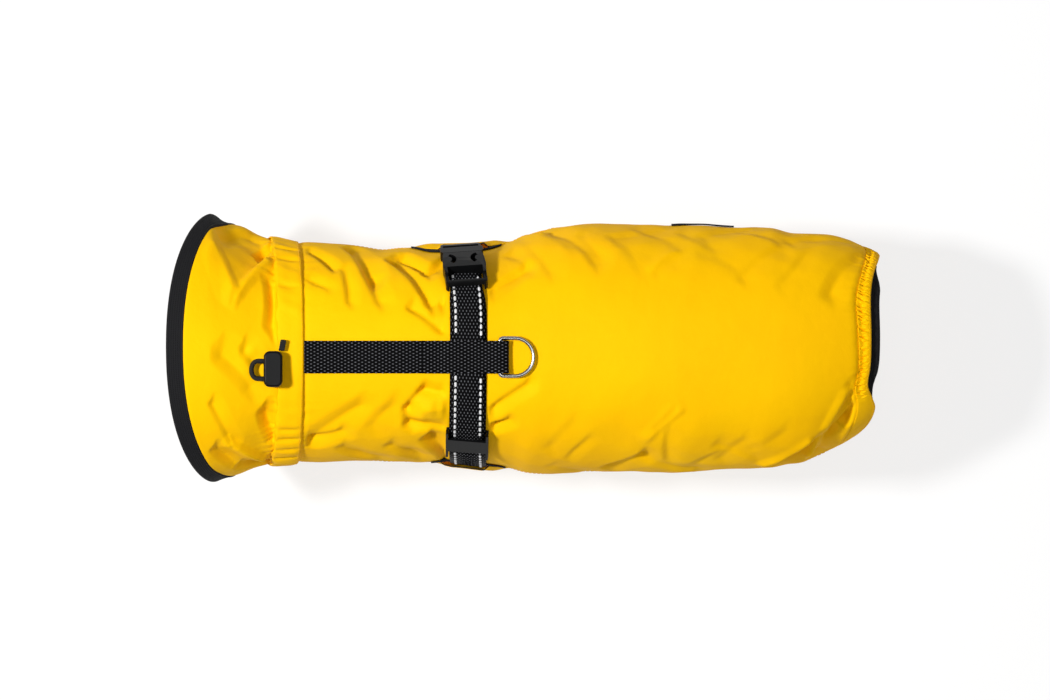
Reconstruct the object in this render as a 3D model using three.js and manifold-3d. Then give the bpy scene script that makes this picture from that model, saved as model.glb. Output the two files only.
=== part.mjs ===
// A dog raincoat, filled out as it is worn, with nobody in it.
// Millimetres. +X runs from the collar to the hem, +Y is the coat's buckle side, +Z is up from the back.
// The origin lies on the inside of the back, under the place where the two straps cross.
import * as THREE from 'three';
import { mergeVertices } from 'three/addons/utils/BufferGeometryUtils.js';
import Module from 'manifold-3d';

const wasm = await Module();
wasm.setup();

// Driving dimensions
const wall = 1.6; // cloth with its turned seams
const seamGap = 0.3; // between two sewn pieces
const hemGap = 0.5;
const roundness = 2.15; // 2 is an ellipse, more is fuller at the shoulders
const arcPerDegree = 1.55; // along the cloth round the body
const bandWidth = 13; // ribbed edging of the collar
const nape = -225; // foremost point of the collar
const channelCrown = 2.2; // how far the drawcord casing puffs out
const webbing = { thick: 1.5, spineWidth: 24.4 };
const slit = { dip: 1.7, bulge: 4.6, from: -46, to: 26, edging: 4, edgingThick: 0.9, edgingLift: 0.5 };
const gather = { pitch: 3.6, from: -38, to: 95, depth: 1.0 };
const columns = { ring: 44, back: 28, belly: 18 }; // round the collar, the back and the belly
const ring = { wire: 2.9, halfWidth: 14.15, reach: 11, corner: 2.6, x: 24, height: 3.65 };

// Outer outline of the cloth at each station: its reach to both sides, the back and the belly
const sections = [
  { x: -226.5, left: 113.0, right: -97.0, top: 15, bottom: -186 },
  { x: -195.0, left: 109.5, right: -95.3, top: 12, bottom: -180 },
  { x: -184.5, left: 102.0, right: -91.5, top: 10, bottom: -174 },
  { x: -171.0, left: 98.3, right: -87.8, top: 6, bottom: -168 },
  { x: -154.5, left: 91.0, right: -81.5, top: 1, bottom: -161 },
  { x: -133.5, left: 85.5, right: -79.0, top: -2, bottom: -158 },
  { x: -118.5, left: 86.3, right: -78.8, top: -1, bottom: -163 },
  { x: -88.5, left: 84.8, right: -79.0, top: 0, bottom: -178 },
  { x: -66.0, left: 81.4, right: -78.8, top: 0.6, bottom: -188 },
  { x: -43.5, left: 82.5, right: -79.0, top: 1.1, bottom: -196 },
  { x: -13.5, left: 82.6, right: -79.0, top: 1.5, bottom: -200 },
  { x: 9.0, left: 83.5, right: -81.5, top: 1.8, bottom: -201 },
  { x: 31.5, left: 87.0, right: -83.6, top: 2.4, bottom: -199 },
  { x: 46.5, left: 93.8, right: -87.3, top: 3.0, bottom: -196 },
  { x: 61.5, left: 97.6, right: -88.0, top: 3.6, bottom: -193 },
  { x: 91.5, left: 100.5, right: -87.4, top: 4.4, bottom: -186 },
  { x: 121.5, left: 99.8, right: -86.0, top: 4.5, bottom: -180 },
  { x: 166.5, left: 99.0, right: -86.8, top: 3.0, bottom: -172 },
  { x: 196.5, left: 97.5, right: -84.2, top: 1.0, bottom: -166 },
  { x: 226.5, left: 97.8, right: -83.6, top: -2.0, bottom: -160 },
  { x: 241.5, left: 94.5, right: -81.2, top: -4.0, bottom: -157 },
  { x: 256.5, left: 93.0, right: -78.0, top: -7.0, bottom: -154 },
  { x: 271.5, left: 91.6, right: -70.8, top: -10.5, bottom: -150 },
  { x: 286.5, left: 88.2, right: -62.3, top: -14.5, bottom: -146 },
  { x: 294.0, left: 84.8, right: -57.8, top: -17.0, bottom: -143 },
  { x: 301.5, left: 81.8, right: -53.8, top: -19.5, bottom: -140 },
  { x: 312.0, left: 76.5, right: -47.5, top: -23.0, bottom: -136 },
];

// Angle of the side seams, 0 on the spine and growing to the buckle side
const seams = [
  { x: -140, left: 97, right: -97 },
  { x: -66, left: 94, right: -96 },
  { x: -48, left: 86, right: -92 },
  { x: -30, left: 77.5, right: -86 },
  { x: -8, left: 76, right: -83 },
  { x: 12, left: 77, right: -83 },
  { x: 24, left: 81, right: -86 },
  { x: 38, left: 87, right: -92 },
  { x: 64, left: 94, right: -97 },
  { x: 110, left: 98, right: -98 },
  { x: 312, left: 98, right: -98 },
];

// Where the hem's casing starts and ends round the coat: the belly is cut away, one rear corner hangs longer
const hem = [
  { angle: -225, start: 231, end: 242.7 },
  { angle: -180, start: 188, end: 199 },
  { angle: -135, start: 230, end: 242 },
  { angle: -110, start: 262, end: 275 },
  { angle: -90, start: 277, end: 291 },
  { angle: -70, start: 285, end: 301 },
  { angle: -52, start: 291, end: 305.5 },
  { angle: -40, start: 292, end: 303 },
  { angle: -29, start: 290, end: 299.6 },
  { angle: -16, start: 293, end: 301.4 },
  { angle: 0, start: 292.5, end: 302 },
  { angle: 22, start: 291, end: 301.6 },
  { angle: 34, start: 293, end: 302.4 },
  { angle: 47, start: 296, end: 304.6 },
  { angle: 64, start: 299, end: 308.2 },
  { angle: 83, start: 298.5, end: 309 },
  { angle: 100, start: 290, end: 301 },
  { angle: 135, start: 232, end: 243.5 },
  { angle: 180, start: 188, end: 199 },
  { angle: 225, start: 231, end: 242.7 },
];

// Largest folds, each a soft trough between two places, or a ridge where its depth is positive
const folds = [
  { name: 'collar facet', x0: -179, a0: 51, x1: -151, a1: 51, depth: -4.0, width: 9 },
  { name: 'collar facet ridge', x0: -172, a0: 28, x1: -150, a1: 42, depth: 1.8, width: 5 },
  { name: 'collar nape valley', x0: -150, a0: 33, x1: -149, a1: 18, depth: -2.6, width: 5 },
  { name: 'collar throat valley', x0: -157, a0: -32, x1: -150, a1: -52, depth: -3.0, width: 7 },
  { name: 'collar low ridge', x0: -174, a0: -46, x1: -154, a1: -66, depth: 2.2, width: 5 },
  { name: 'collar low trough', x0: -184, a0: -54, x1: -172, a1: -68, depth: -2.2, width: 5 },
  { name: 'shoulder', x0: -92, a0: 75, x1: -76, a1: 46, depth: -2.4, width: 6 },
  { name: 'buckle diagonal', x0: -58, a0: 62, x1: -30, a1: 28, depth: -3.2, width: 6 },
  { name: 'slider bulge', x0: -33, a0: -28, x1: -29, a1: -29, depth: 3.2, width: 7 },
  { name: 'slider trough', x0: -46, a0: -20, x1: -50, a1: -38, depth: -2.4, width: 6 },
  { name: 'slider radiating', x0: -40, a0: -50, x1: -24, a1: -74, depth: -2.6, width: 6 },
  { name: 'flank top', x0: 46, a0: 84, x1: 92, a1: 45, depth: -3.4, width: 6 },
  { name: 'rear shade', x0: 262, a0: 30, x1: 284, a1: 55, depth: -2.8, width: 8 },
  { name: 'corner', x0: 258, a0: -86, x1: 282, a1: -34, depth: -4.6, width: 7 },
  { name: 'corner ridge', x0: 272, a0: -80, x1: 281, a1: -54, depth: 2.4, width: 6 },
  { name: 'low wedge', x0: 228, a0: -80, x1: 252, a1: -60, depth: -3.4, width: 7 },
  { name: 'notch', x0: 104, a0: -84, x1: 128, a1: -64, depth: -4.0, width: 8 },
  { name: 'notch tail', x0: 128, a0: -64, x1: 168, a1: -80, depth: -2.4, width: 7 },
  { name: 'flank vee', x0: 138, a0: -45, x1: 160, a1: -28, depth: 1.8, width: 6 },
  { name: 'belly crease', x0: 40, a0: -130, x1: 90, a1: -150, depth: -3.0, width: 8 },
  { name: 'belly crease far', x0: 60, a0: 128, x1: 110, a1: 146, depth: -3.0, width: 8 },
];

const yellowCloth = { color: '#ffc800', roughness: 0.48, metalness: 0 };
const blackRib = { color: '#2a2a2c', roughness: 0.85, metalness: 0 };
const blackWebbing = { color: '#1f1f21', roughness: 0.8, metalness: 0 };
const blackPlastic = { color: '#26282a', roughness: 0.42, metalness: 0 };
const steel = { color: '#b9babb', roughness: 0.22, metalness: 1 };

const coat = new THREE.Group();
coat.name = 'dog_raincoat';

function addPiece(name, geometry, finish, parent = coat) {
  const mesh = new THREE.Mesh(geometry, new THREE.MeshStandardMaterial(finish));
  mesh.name = name;
  parent.add(mesh);
  return mesh;
}

function mix(from, to, part) {
  return from + (to - from) * part;
}

function smoothStep(low, high, value) {
  const part = Math.min(1, Math.max(0, (value - low) / (high - low)));
  return part * part * (3 - 2 * part);
}

// Smooth curve through a table's rows, each row's slope taken from the rows on both sides of it
function between(rows, key, value, column) {
  const last = rows.length - 1;
  const at = Math.min(rows[last][key], Math.max(rows[0][key], value));
  let i = 0;
  while (i < last - 1 && at > rows[i + 1][key]) {
    i += 1;
  }
  const slope = (k) => {
    const before = rows[Math.max(0, k - 1)];
    const after = rows[Math.min(last, k + 1)];
    return (after[column] - before[column]) / (after[key] - before[key]);
  };
  const span = rows[i + 1][key] - rows[i][key];
  const t = (at - rows[i][key]) / span;
  const rise = t * t * (3 - 2 * t);
  const fromStart = t * (1 - t) * (1 - t) * span * slope(i);
  const fromEnd = t * t * (t - 1) * span * slope(i + 1);
  return mix(rows[i][column], rows[i + 1][column], rise) + fromStart + fromEnd;
}

function wrap(angle) {
  return angle - 360 * Math.round(angle / 360);
}

// Edges of the pieces, as a station x for each angle round the coat
function sweep(angle) {
  return 1 - Math.cos(THREE.MathUtils.degToRad(angle));
}

const rimEdge = (angle) => nape + 37 * sweep(angle) + 6.4 * sweep(angle) ** 2 - 8.3 * sweep(angle) ** 3;
const bandEdge = (angle) => rimEdge(angle) + bandWidth;
const channelFront = (angle) => -142 - 7.5 * sweep(angle);
const channelRear = (angle) => -122.6 - 6 * sweep(angle);
const hemStart = (angle) => between(hem, 'angle', wrap(angle), 'start');
const hemEnd = (angle) => between(hem, 'angle', wrap(angle), 'end');
const seamLeft = (x) => between(seams, 'x', x, 'left');
const seamRight = (x) => between(seams, 'x', x, 'right');

function signedPower(value, power) {
  return Math.sign(value) * Math.abs(value) ** power;
}

// A place on the coat's smooth outer form, moved out along the section's normal
function formPoint(x, angle, out = 0) {
  const outlineAt = (side) => between(sections, 'x', x, side);
  const [left, right, top, bottom] = ['left', 'right', 'top', 'bottom'].map(outlineAt);
  const halfWidth = (left - right) / 2;
  const halfHeight = (top - bottom) / 2;
  const turn = THREE.MathUtils.degToRad(angle);
  const bend = 2 * (roundness - 1) / roundness;
  const across = signedPower(Math.sin(turn), 2 / roundness);
  const up = signedPower(Math.cos(turn), 2 / roundness);
  const normal = new THREE.Vector2(
    signedPower(Math.sin(turn), bend) / halfWidth,
    signedPower(Math.cos(turn), bend) / halfHeight,
  ).normalize();
  return new THREE.Vector3(
    x,
    (left + right) / 2 + halfWidth * across + out * normal.x,
    (top + bottom) / 2 + halfHeight * up + out * normal.y,
  );
}

// Folds die away under the straps, at the hem and at the collar's band
function foldFade(x, angle) {
  const fromGirth = smoothStep(20, 28, Math.abs(x));
  const offSpine = x > -126 && x < 56 ? smoothStep(9.5, 14, Math.abs(angle)) : 1;
  const fromHem = smoothStep(0, 8, hemStart(angle) - x);
  const fromBand = smoothStep(0, 8, x - bandEdge(angle));
  const fromChannel = smoothStep(0, 4, Math.abs(x + 132) - 10);
  return fromGirth * offSpine * fromHem * fromBand * fromChannel;
}

function foldDepth(x, angle) {
  const turned = wrap(angle);
  let total = 0;
  for (const fold of folds) {
    const start = new THREE.Vector2(fold.x0, fold.a0 * arcPerDegree);
    const along = new THREE.Vector2(fold.x1, fold.a1 * arcPerDegree).sub(start);
    const place = new THREE.Vector2(x, turned * arcPerDegree).sub(start);
    const part = Math.min(1, Math.max(0, place.dot(along) / along.lengthSq()));
    const distance = place.sub(along.multiplyScalar(part)).length();
    total += fold.depth * Math.exp(-((distance / fold.width) ** 2));
  }
  return total * foldFade(x, turned);
}

// At the slits the back is drawn in under the strap and the belly panel stands off over it
function slitSpan(x) {
  return smoothStep(slit.from, slit.from + 20, x) * (1 - smoothStep(slit.to - 9, slit.to + 8, x));
}

function slitNear(x, angle, reach) {
  const turned = wrap(angle);
  const past = turned > 0 ? Math.abs(turned - seamLeft(x)) : Math.abs(turned - seamRight(x));
  return slitSpan(x) * (1 - smoothStep(0, reach, past));
}

const backOut = (x, angle) => foldDepth(x, angle) - slit.dip * slitNear(x, angle, 14);
const bellyOut = (x, angle) => foldDepth(x, angle) + slit.bulge * slitNear(x, angle, 24);
const channelOut = (x, angle) => {
  const part = (x - channelFront(angle)) / (channelRear(angle) - channelFront(angle));
  return 0.5 + channelCrown * Math.sin(Math.PI * Math.min(1, Math.max(0, part)));
};

// Gathers: waves round the hem, deepest where the elastic is sewn, uneven in depth
function gatherOut(angle, part) {
  const turned = wrap(angle);
  const started = smoothStep(gather.from - 3, gather.from + 3, turned);
  const inside = started * (1 - smoothStep(gather.to - 4, gather.to + 4, turned));
  const uneven = 0.8 + 0.2 * Math.sin(turned * 0.9) * Math.cos(turned * 0.37);
  const wave = Math.cos(2 * Math.PI * turned / gather.pitch);
  return gather.depth * inside * uneven * wave * (0.55 + 0.45 * Math.abs(1 - 2 * part));
}

// A closed wall between two grids of points; a ring closes on itself in its columns
function wallBetween(outer, inner, isRing) {
  const rows = outer.length;
  const columns = outer[0].length;
  const count = rows * columns;
  const points = [...outer.flat(), ...inner.flat()];
  const index = [];
  const quad = (a, b, c, d) => index.push(a, b, c, a, c, d);
  const at = (row, column) => row * columns + (column % columns);
  const spans = isRing ? columns : columns - 1;
  for (let i = 0; i < rows - 1; i += 1) {
    for (let j = 0; j < spans; j += 1) {
      const corners = [at(i, j), at(i + 1, j), at(i + 1, j + 1), at(i, j + 1)];
      quad(...corners);
      quad(...corners.reverse().map((corner) => corner + count));
    }
  }
  for (let j = 0; j < spans; j += 1) {
    quad(at(0, j + 1), at(0, j + 1) + count, at(0, j) + count, at(0, j));
    quad(at(rows - 1, j), at(rows - 1, j) + count, at(rows - 1, j + 1) + count, at(rows - 1, j + 1));
  }
  for (let i = 0; i < rows - 1 && !isRing; i += 1) {
    quad(at(i, 0), at(i, 0) + count, at(i + 1, 0) + count, at(i + 1, 0));
    const end = columns - 1;
    quad(at(i + 1, end), at(i + 1, end) + count, at(i, end) + count, at(i, end));
  }
  const geometry = new THREE.BufferGeometry();
  const numbers = points.flatMap((p) => [p.x, p.y, p.z]);
  geometry.setAttribute('position', new THREE.Float32BufferAttribute(numbers, 3));
  geometry.setIndex(index);
  geometry.computeVertexNormals();
  return geometry;
}

function steps(count) {
  return Array.from({ length: count + 1 }, (_, i) => i / count);
}

// A piece of cloth from a front edge to a rear edge, between two angles; its outer face is given by outOf
function clothPiece({ front, rear, angles, rows, outOf, thick = wall, isRing = false }) {
  const grid = (move) => rows.map((part) => angles.map((angleOf) => {
    let x = mix(front(0), rear(0), part);
    let angle = angleOf(x);
    for (let pass = 0; pass < 8; pass += 1) {
      x = mix(front(angle), rear(angle), part);
      angle = angleOf(x);
    }
    return formPoint(x, angle, outOf(x, angle, part) + move);
  }));
  return wallBetween(grid(0), grid(-thick), isRing);
}

function ringAngles(count) {
  return steps(count).slice(0, -1).map((part) => () => mix(-180, 180, part));
}

function spreadAngles(low, high, count) {
  return steps(count).map((part) => (x) => mix(low(x), high(x), part));
}

// The belly panel's columns stand closer together near its two seams
const bellyParts = steps(columns.belly).map((part) => part - 0.065 * Math.sin(2 * Math.PI * part));

function toSolid(geometry) {
  const bare = geometry.clone();
  bare.deleteAttribute('normal');
  bare.deleteAttribute('uv');
  const merged = mergeVertices(bare, 1e-4);
  return new wasm.Manifold(new wasm.Mesh({
    numProp: 3,
    vertProperties: new Float32Array(merged.attributes.position.array),
    triVerts: new Uint32Array(merged.index.array),
  }));
}

function toGeometry(solid) {
  const mesh = solid.getMesh();
  const geometry = new THREE.BufferGeometry();
  geometry.setAttribute('position', new THREE.BufferAttribute(new Float32Array(mesh.vertProperties), 3));
  geometry.setIndex(new THREE.BufferAttribute(new Uint32Array(mesh.triVerts), 1));
  geometry.computeVertexNormals();
  return geometry;
}

function block(width, length, height, x, y, z) {
  return new THREE.BoxGeometry(width, length, height).translate(x, y, z);
}

function makePanels() {
  const halfGap = seamGap / 2 / arcPerDegree;
  const panelRows = steps(34);
  addPiece('collar', clothPiece({
    front: (angle) => bandEdge(angle) + seamGap,
    rear: (angle) => channelFront(angle) - seamGap,
    angles: ringAngles(columns.ring),
    rows: steps(6),
    outOf: foldDepth,
    isRing: true,
  }), yellowCloth);
  addPiece('collar_band', clothPiece({
    front: rimEdge,
    rear: bandEdge,
    angles: ringAngles(columns.ring),
    rows: steps(2),
    outOf: () => 0.2,
    thick: 2,
    isRing: true,
  }), blackRib);
  addPiece('drawcord_channel', clothPiece({
    front: channelFront,
    rear: channelRear,
    angles: ringAngles(columns.ring),
    rows: steps(3),
    outOf: channelOut,
    isRing: true,
  }), yellowCloth);
  addPiece('back_panel', clothPiece({
    front: (angle) => channelRear(angle) + seamGap,
    rear: (angle) => hemStart(angle) - hemGap,
    angles: spreadAngles((x) => seamRight(x) + halfGap, (x) => seamLeft(x) - halfGap, columns.back),
    rows: panelRows,
    outOf: backOut,
  }), yellowCloth);
  const belly = clothPiece({
    front: (angle) => channelRear(angle) + seamGap,
    rear: (angle) => hemStart(angle) - hemGap,
    angles: bellyParts.map((part) => (x) => mix(seamLeft(x) + halfGap, 360 + seamRight(x) - halfGap, part)),
    rows: panelRows,
    outOf: bellyOut,
  });
  addPiece('belly_panel', cutLegOpenings(belly), yellowCloth);
}

// Two plain oval openings for the front legs, cut straight down through the belly panel
function cutLegOpenings(belly) {
  const leg = { x: -80, y: 47, alongCoat: 26, across: 21, depth: 120, sides: 28 };
  let solid = toSolid(belly);
  for (const side of [1, -1]) {
    const cutter = new THREE.CylinderGeometry(1, 1, leg.depth, leg.sides);
    cutter.rotateX(Math.PI / 2).scale(leg.alongCoat, leg.across, 1).translate(leg.x, side * leg.y, -160);
    solid = solid.subtract(toSolid(cutter));
  }
  return toGeometry(solid);
}

function makeHem() {
  const waves = Math.round((gather.to - gather.from) / gather.pitch);
  const gathered = steps(waves * 4).map((part) => gather.from + part * waves * gather.pitch);
  const seam = { left: seamLeft(hemStart(98)), right: seamRight(hemStart(-98)) };
  const under = bellyParts.map((part) => mix(seam.left, 360 + seam.right, part));
  const corner = steps(columns.back).slice(1).map((part) => mix(360 + seam.right, 360 + seam.left, part));
  const plain = [...under, ...corner.filter((angle) => angle < 358 + gather.from)];
  addPiece('hem_casing', clothPiece({
    front: hemStart,
    rear: hemEnd,
    angles: [...gathered, ...plain].map((angle) => () => angle),
    rows: steps(2),
    outOf: (x, angle, part) => gatherOut(angle, part),
    isRing: true,
  }), yellowCloth);
  const band = { from: -44, to: 60, inside: 4, shows: 7.2, thick: 1.4 };
  const showing = (angle) => {
    const started = smoothStep(band.from, band.from + 22, angle);
    return band.shows * started * (1 - smoothStep(band.to - 28, band.to, angle));
  };
  addPiece('hem_band', clothPiece({
    front: (angle) => hemEnd(angle) - band.inside,
    rear: (angle) => hemEnd(angle) + showing(angle) - 0.5,
    angles: spreadAngles(() => band.from, () => band.to, 22),
    rows: steps(3),
    outOf: () => -wall - gather.depth - seamGap,
    thick: band.thick,
  }), blackRib);
}

// Black edging on both lips of each slit, lying on the outer face of its panel
function makeSlitEdging() {
  const wide = slit.edging / arcPerDegree;
  const sides = [
    { name: 'left', seam: seamLeft, away: 1, from: slit.from + 3, to: slit.to - 1 },
    { name: 'right', seam: seamRight, away: -1, from: slit.from + 18, to: slit.to + 2 },
  ];
  for (const side of sides) {
    const lips = [
      { name: 'back', near: -0.5, far: -wide, outOf: backOut },
      { name: 'belly', near: 0.5, far: wide * 0.6, outOf: bellyOut },
    ];
    for (const lip of lips) {
      const edge = (degrees) => (x) => side.seam(x) + side.away * degrees;
      const [low, high] = [edge(lip.near), edge(lip.far)].sort((a, b) => a(0) - b(0));
      addPiece(`slit_edging_${side.name}_${lip.name}`, clothPiece({
        front: () => side.from,
        rear: () => side.to,
        angles: spreadAngles(low, high, 1),
        rows: steps(12),
        outOf: (x, angle) => lip.outOf(x, angle) + slit.edgingLift + slit.edgingThick,
        thick: slit.edgingThick,
      }), blackRib);
    }
  }
  const trim = { from: 153, to: 200, angle: 87, wide: 2, thick: 1.1 };
  addPiece('flank_edging', clothPiece({
    front: () => trim.from,
    rear: () => trim.to,
    angles: spreadAngles(() => trim.angle - trim.wide, () => trim.angle + trim.wide, 2),
    rows: steps(8),
    outOf: (x, angle) => backOut(x, angle) + seamGap + trim.thick,
    thick: trim.thick,
  }), blackRib);
}

// The girth strap's middle line, its height above the smooth form and its width, at each angle
const girthPath = [
  { angle: -298.5, x: -5.3, out: 4, wide: 24.4 },
  { angle: -294, x: -5, out: 3.9, wide: 24.4 },
  { angle: -290.5, x: -4.8, out: 2.4, wide: 24.4 },
  { angle: -287.5, x: -4.6, out: 1.3, wide: 26.8 },
  { angle: -281.5, x: -4.2, out: 0.6, wide: 27.5 },
  { angle: -275.5, x: -4, out: -0.7, wide: 27.5 },
  { angle: -269, x: -3.6, out: -2.4, wide: 27.5 },
  { angle: -262, x: -3.2, out: -3.6, wide: 27.5 },
  { angle: -240, x: -2, out: -3.6, wide: 27.5 },
  { angle: -180, x: 0, out: -3.6, wide: 27.5 },
  { angle: -114, x: 0.3, out: -3.6, wide: 27.5 },
  { angle: -107, x: 0.3, out: -3.6, wide: 27.5 },
  { angle: -100, x: 0.3, out: -2, wide: 27.5 },
  { angle: -94, x: 0.3, out: -0.4, wide: 27.5 },
  { angle: -88, x: 0.3, out: 0.8, wide: 27.5 },
  { angle: -83, x: 0.2, out: 1.25, wide: 27.5 },
  { angle: -76, x: 0, out: 2.1, wide: 27.5 },
  { angle: -66, x: -0.2, out: 3, wide: 27.5 },
  { angle: -60, x: -0.4, out: 3.1, wide: 27.5 },
  { angle: -50.5, x: -0.4, out: 1.25, wide: 27.5 },
  { angle: -41, x: -0.4, out: 3.25, wide: 27.5 },
  { angle: -35, x: -0.2, out: 2.4, wide: 27.5 },
  { angle: -27, x: 0, out: 1.1, wide: 27.5 },
  { angle: 0, x: 0.5, out: 1.1, wide: 27.5 },
  { angle: 21, x: 0.4, out: 1.1, wide: 27.5 },
  { angle: 28, x: -0.2, out: 2.4, wide: 26.8 },
  { angle: 34.5, x: -1.1, out: 3.9, wide: 24.4 },
  { angle: 44.5, x: -2.3, out: 4.3, wide: 24.4 },
];

function girthPiece(name, from, to, count) {
  const at = (angle, column) => between(girthPath, 'angle', angle, column);
  const edge = (angle, side) => at(angle, 'x') + side * at(angle, 'wide') / 2;
  addPiece(name, clothPiece({
    front: (angle) => edge(angle, -1),
    rear: (angle) => edge(angle, 1),
    angles: spreadAngles(() => from, () => to, count),
    rows: steps(2),
    outOf: (x, angle) => at(angle, 'out') + webbing.thick / 2,
    thick: webbing.thick,
  }), blackWebbing);
}

// The spine strap's middle line: along the back, over the girth strap, round the ring's bar and back
const spinePath = [
  { x: -122.1, out: 1.2 },
  { x: -70, out: 1.2 },
  { x: -19.4, out: 1.2 },
  { x: -17, out: 1.6 },
  { x: -15.2, out: 2.6 },
  { x: -13.5, out: 3.0 },
  { x: 14.4, out: 3.0 },
  { x: 16.2, out: 2.6 },
  { x: 18, out: 1.6 },
  { x: 20.4, out: 1.2 },
  { x: 28, out: 1.2 },
  { x: 29.9, out: 2.0 },
  { x: 30.6, out: 3.7 },
  { x: 29.9, out: 5.4 },
  { x: 28, out: 6.2 },
  { x: 21.5, out: 6.2 },
  { x: 17, out: 5.4 },
  { x: 14, out: 4.85 },
  { x: -14, out: 4.85 },
  { x: -17, out: 4.2 },
  { x: -19.5, out: 3.3 },
  { x: -22, out: 3.05 },
  { x: -33.8, out: 3.05 },
];

function makeSpineStrap() {
  const half = webbing.spineWidth / 2;
  const backRadius = 88;
  const acrossStrap = steps(4).map((part) => mix(-half, half, part));
  const face = (side) => spinePath.map((place, i) => {
    const before = spinePath[Math.max(0, i - 1)];
    const after = spinePath[Math.min(spinePath.length - 1, i + 1)];
    const along = new THREE.Vector2(after.x - before.x, after.out - before.out).normalize();
    const x = place.x - side * along.y * webbing.thick / 2;
    const out = place.out + side * along.x * webbing.thick / 2;
    return acrossStrap.map((y) => {
      const angle = THREE.MathUtils.radToDeg(Math.asin(Math.abs(y / backRadius) ** (roundness / 2)));
      const flat = smoothStep(17, 22, x);
      return new THREE.Vector3(x, y, mix(formPoint(x, angle, out).z, formPoint(x, 0, out).z, flat));
    });
  });
  addPiece('spine_strap', wallBetween(face(1), face(-1), false), blackWebbing);
}

// Sets a flat piece on the coat: its own x runs along the coat, y round it and z out of it
function setOnCoat(holder, x, angle, out, spin) {
  const origin = formPoint(x, angle, out);
  const alongCoat = formPoint(x + 8, angle, out).sub(formPoint(x - 8, angle, out)).normalize();
  const round = formPoint(x, angle + 9, out).sub(formPoint(x, angle - 9, out)).normalize();
  const outward = alongCoat.clone().cross(round).normalize();
  const side = outward.clone().cross(alongCoat);
  holder.position.copy(origin);
  holder.setRotationFromMatrix(new THREE.Matrix4().makeBasis(alongCoat, side, outward));
  holder.rotateZ(THREE.MathUtils.degToRad(spin));
  coat.add(holder);
}

function extruded(shape, low, high, curveSegments = 5) {
  const options = { depth: high - low, bevelEnabled: false, curveSegments };
  return new THREE.ExtrudeGeometry(shape, options).translate(0, 0, low);
}

function outline(places) {
  return new THREE.Shape(places.map(([x, y]) => new THREE.Vector2(x, y)));
}

function mirrored(places) {
  return [...places, ...places.map(([x, y]) => [-x, y]).reverse()];
}

function crescent(side, middleY, radius, wide) {
  const shape = new THREE.Path();
  const centreX = side * (radius + 5.2);
  const start = side > 0 ? Math.PI * 0.63 : Math.PI * 0.37;
  const finish = side > 0 ? Math.PI * 1.28 : -Math.PI * 0.28;
  shape.absarc(centreX, middleY, radius, start, finish, side < 0);
  shape.absarc(centreX, middleY, radius - wide, finish, start, side > 0);
  shape.closePath();
  return shape;
}

// The halves of the buckle bend a little with the body: far from the middle they drop towards the cloth
function bent(solid, radius) {
  const geometry = toGeometry(solid);
  const place = geometry.attributes.position;
  for (let i = 0; i < place.count; i += 1) {
    place.setZ(i, place.getZ(i) - place.getY(i) ** 2 / (2 * radius));
  }
  return geometry;
}

function makeBuckle() {
  const buckle = { x: -3.2, angle: 50.5, out: 1.8, spin: 5.5, bendRadius: 130, high: 8.4 };
  const holder = new THREE.Group();
  setOnCoat(holder, buckle.x, buckle.angle, buckle.out, buckle.spin);

  const femaleSide = [[14.2, -27], [15.6, -25.5], [15.6, -12], [16.2, -8], [15.6, 2], [14.4, 9.8], [5, 9.8]];
  const femaleShape = outline(mirrored(femaleSide));
  femaleShape.holes.push(outline([[-13.2, -23.2], [-13.2, -9.4], [13.2, -9.4], [13.2, -23.2]]));
  femaleShape.holes.push(crescent(1, 0.4, 7.5, 3.4), crescent(-1, 0.4, 7.5, 3.4));
  const female = toSolid(extruded(femaleShape, 0, buckle.high))
    .subtract(toSolid(block(26.4, 12, 5.2, 0, -24, 1.4)))
    .subtract(toSolid(block(40, 14, 4, 0, -24, 9)));
  addPiece('buckle_female', bent(female, buckle.bendRadius), blackPlastic, holder);

  const maleSide = [[5, 10.1], [14.6, 10.1], [16, 12], [16, 17.5], [15, 19.5], [15, 26], [13.8, 27.2]];
  const maleShape = outline(mirrored(maleSide));
  maleShape.holes.push(outline([[-13.4, 18.6], [-13.4, 24.2], [13.4, 24.2], [13.4, 18.6]]));
  const male = toSolid(extruded(maleShape, 0, buckle.high))
    .subtract(toSolid(block(26.8, 8, 5.2, 0, 25, 1.4)))
    .subtract(toSolid(block(40, 10, 4, 0, 23.4, 9)));
  addPiece('buckle_male', bent(male, buckle.bendRadius), blackPlastic, holder);
}

// Strap adjuster: a broad middle bar over the webbing, two end bars under it, joined by side posts
function makeSlider() {
  const holder = new THREE.Group();
  setOnCoat(holder, -0.4, -50.5, 0.78, 2.6);
  const half = { inside: 14.2, outside: 15.9 };
  const frame = extruded(outline(mirrored([[half.outside, -16], [half.outside, 16]])), -0.3, 4.9);
  const solid = toSolid(frame)
    .subtract(toSolid(block(2 * half.inside, 40, 3.6, 0, 0, 1.2)))
    .add(toSolid(block(2 * half.outside, 2.4, 1.3, 0, 14.6, -0.75)))
    .add(toSolid(block(2 * half.outside, 2.4, 1.3, 0, -14.6, -0.75)))
    .subtract(toSolid(block(2 * half.inside, 8.4, 8, 0, 12, 5.1)))
    .subtract(toSolid(block(2 * half.inside, 8.4, 8, 0, -12, 5.1)));
  addPiece('slider', toGeometry(solid), blackPlastic, holder);
}

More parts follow.
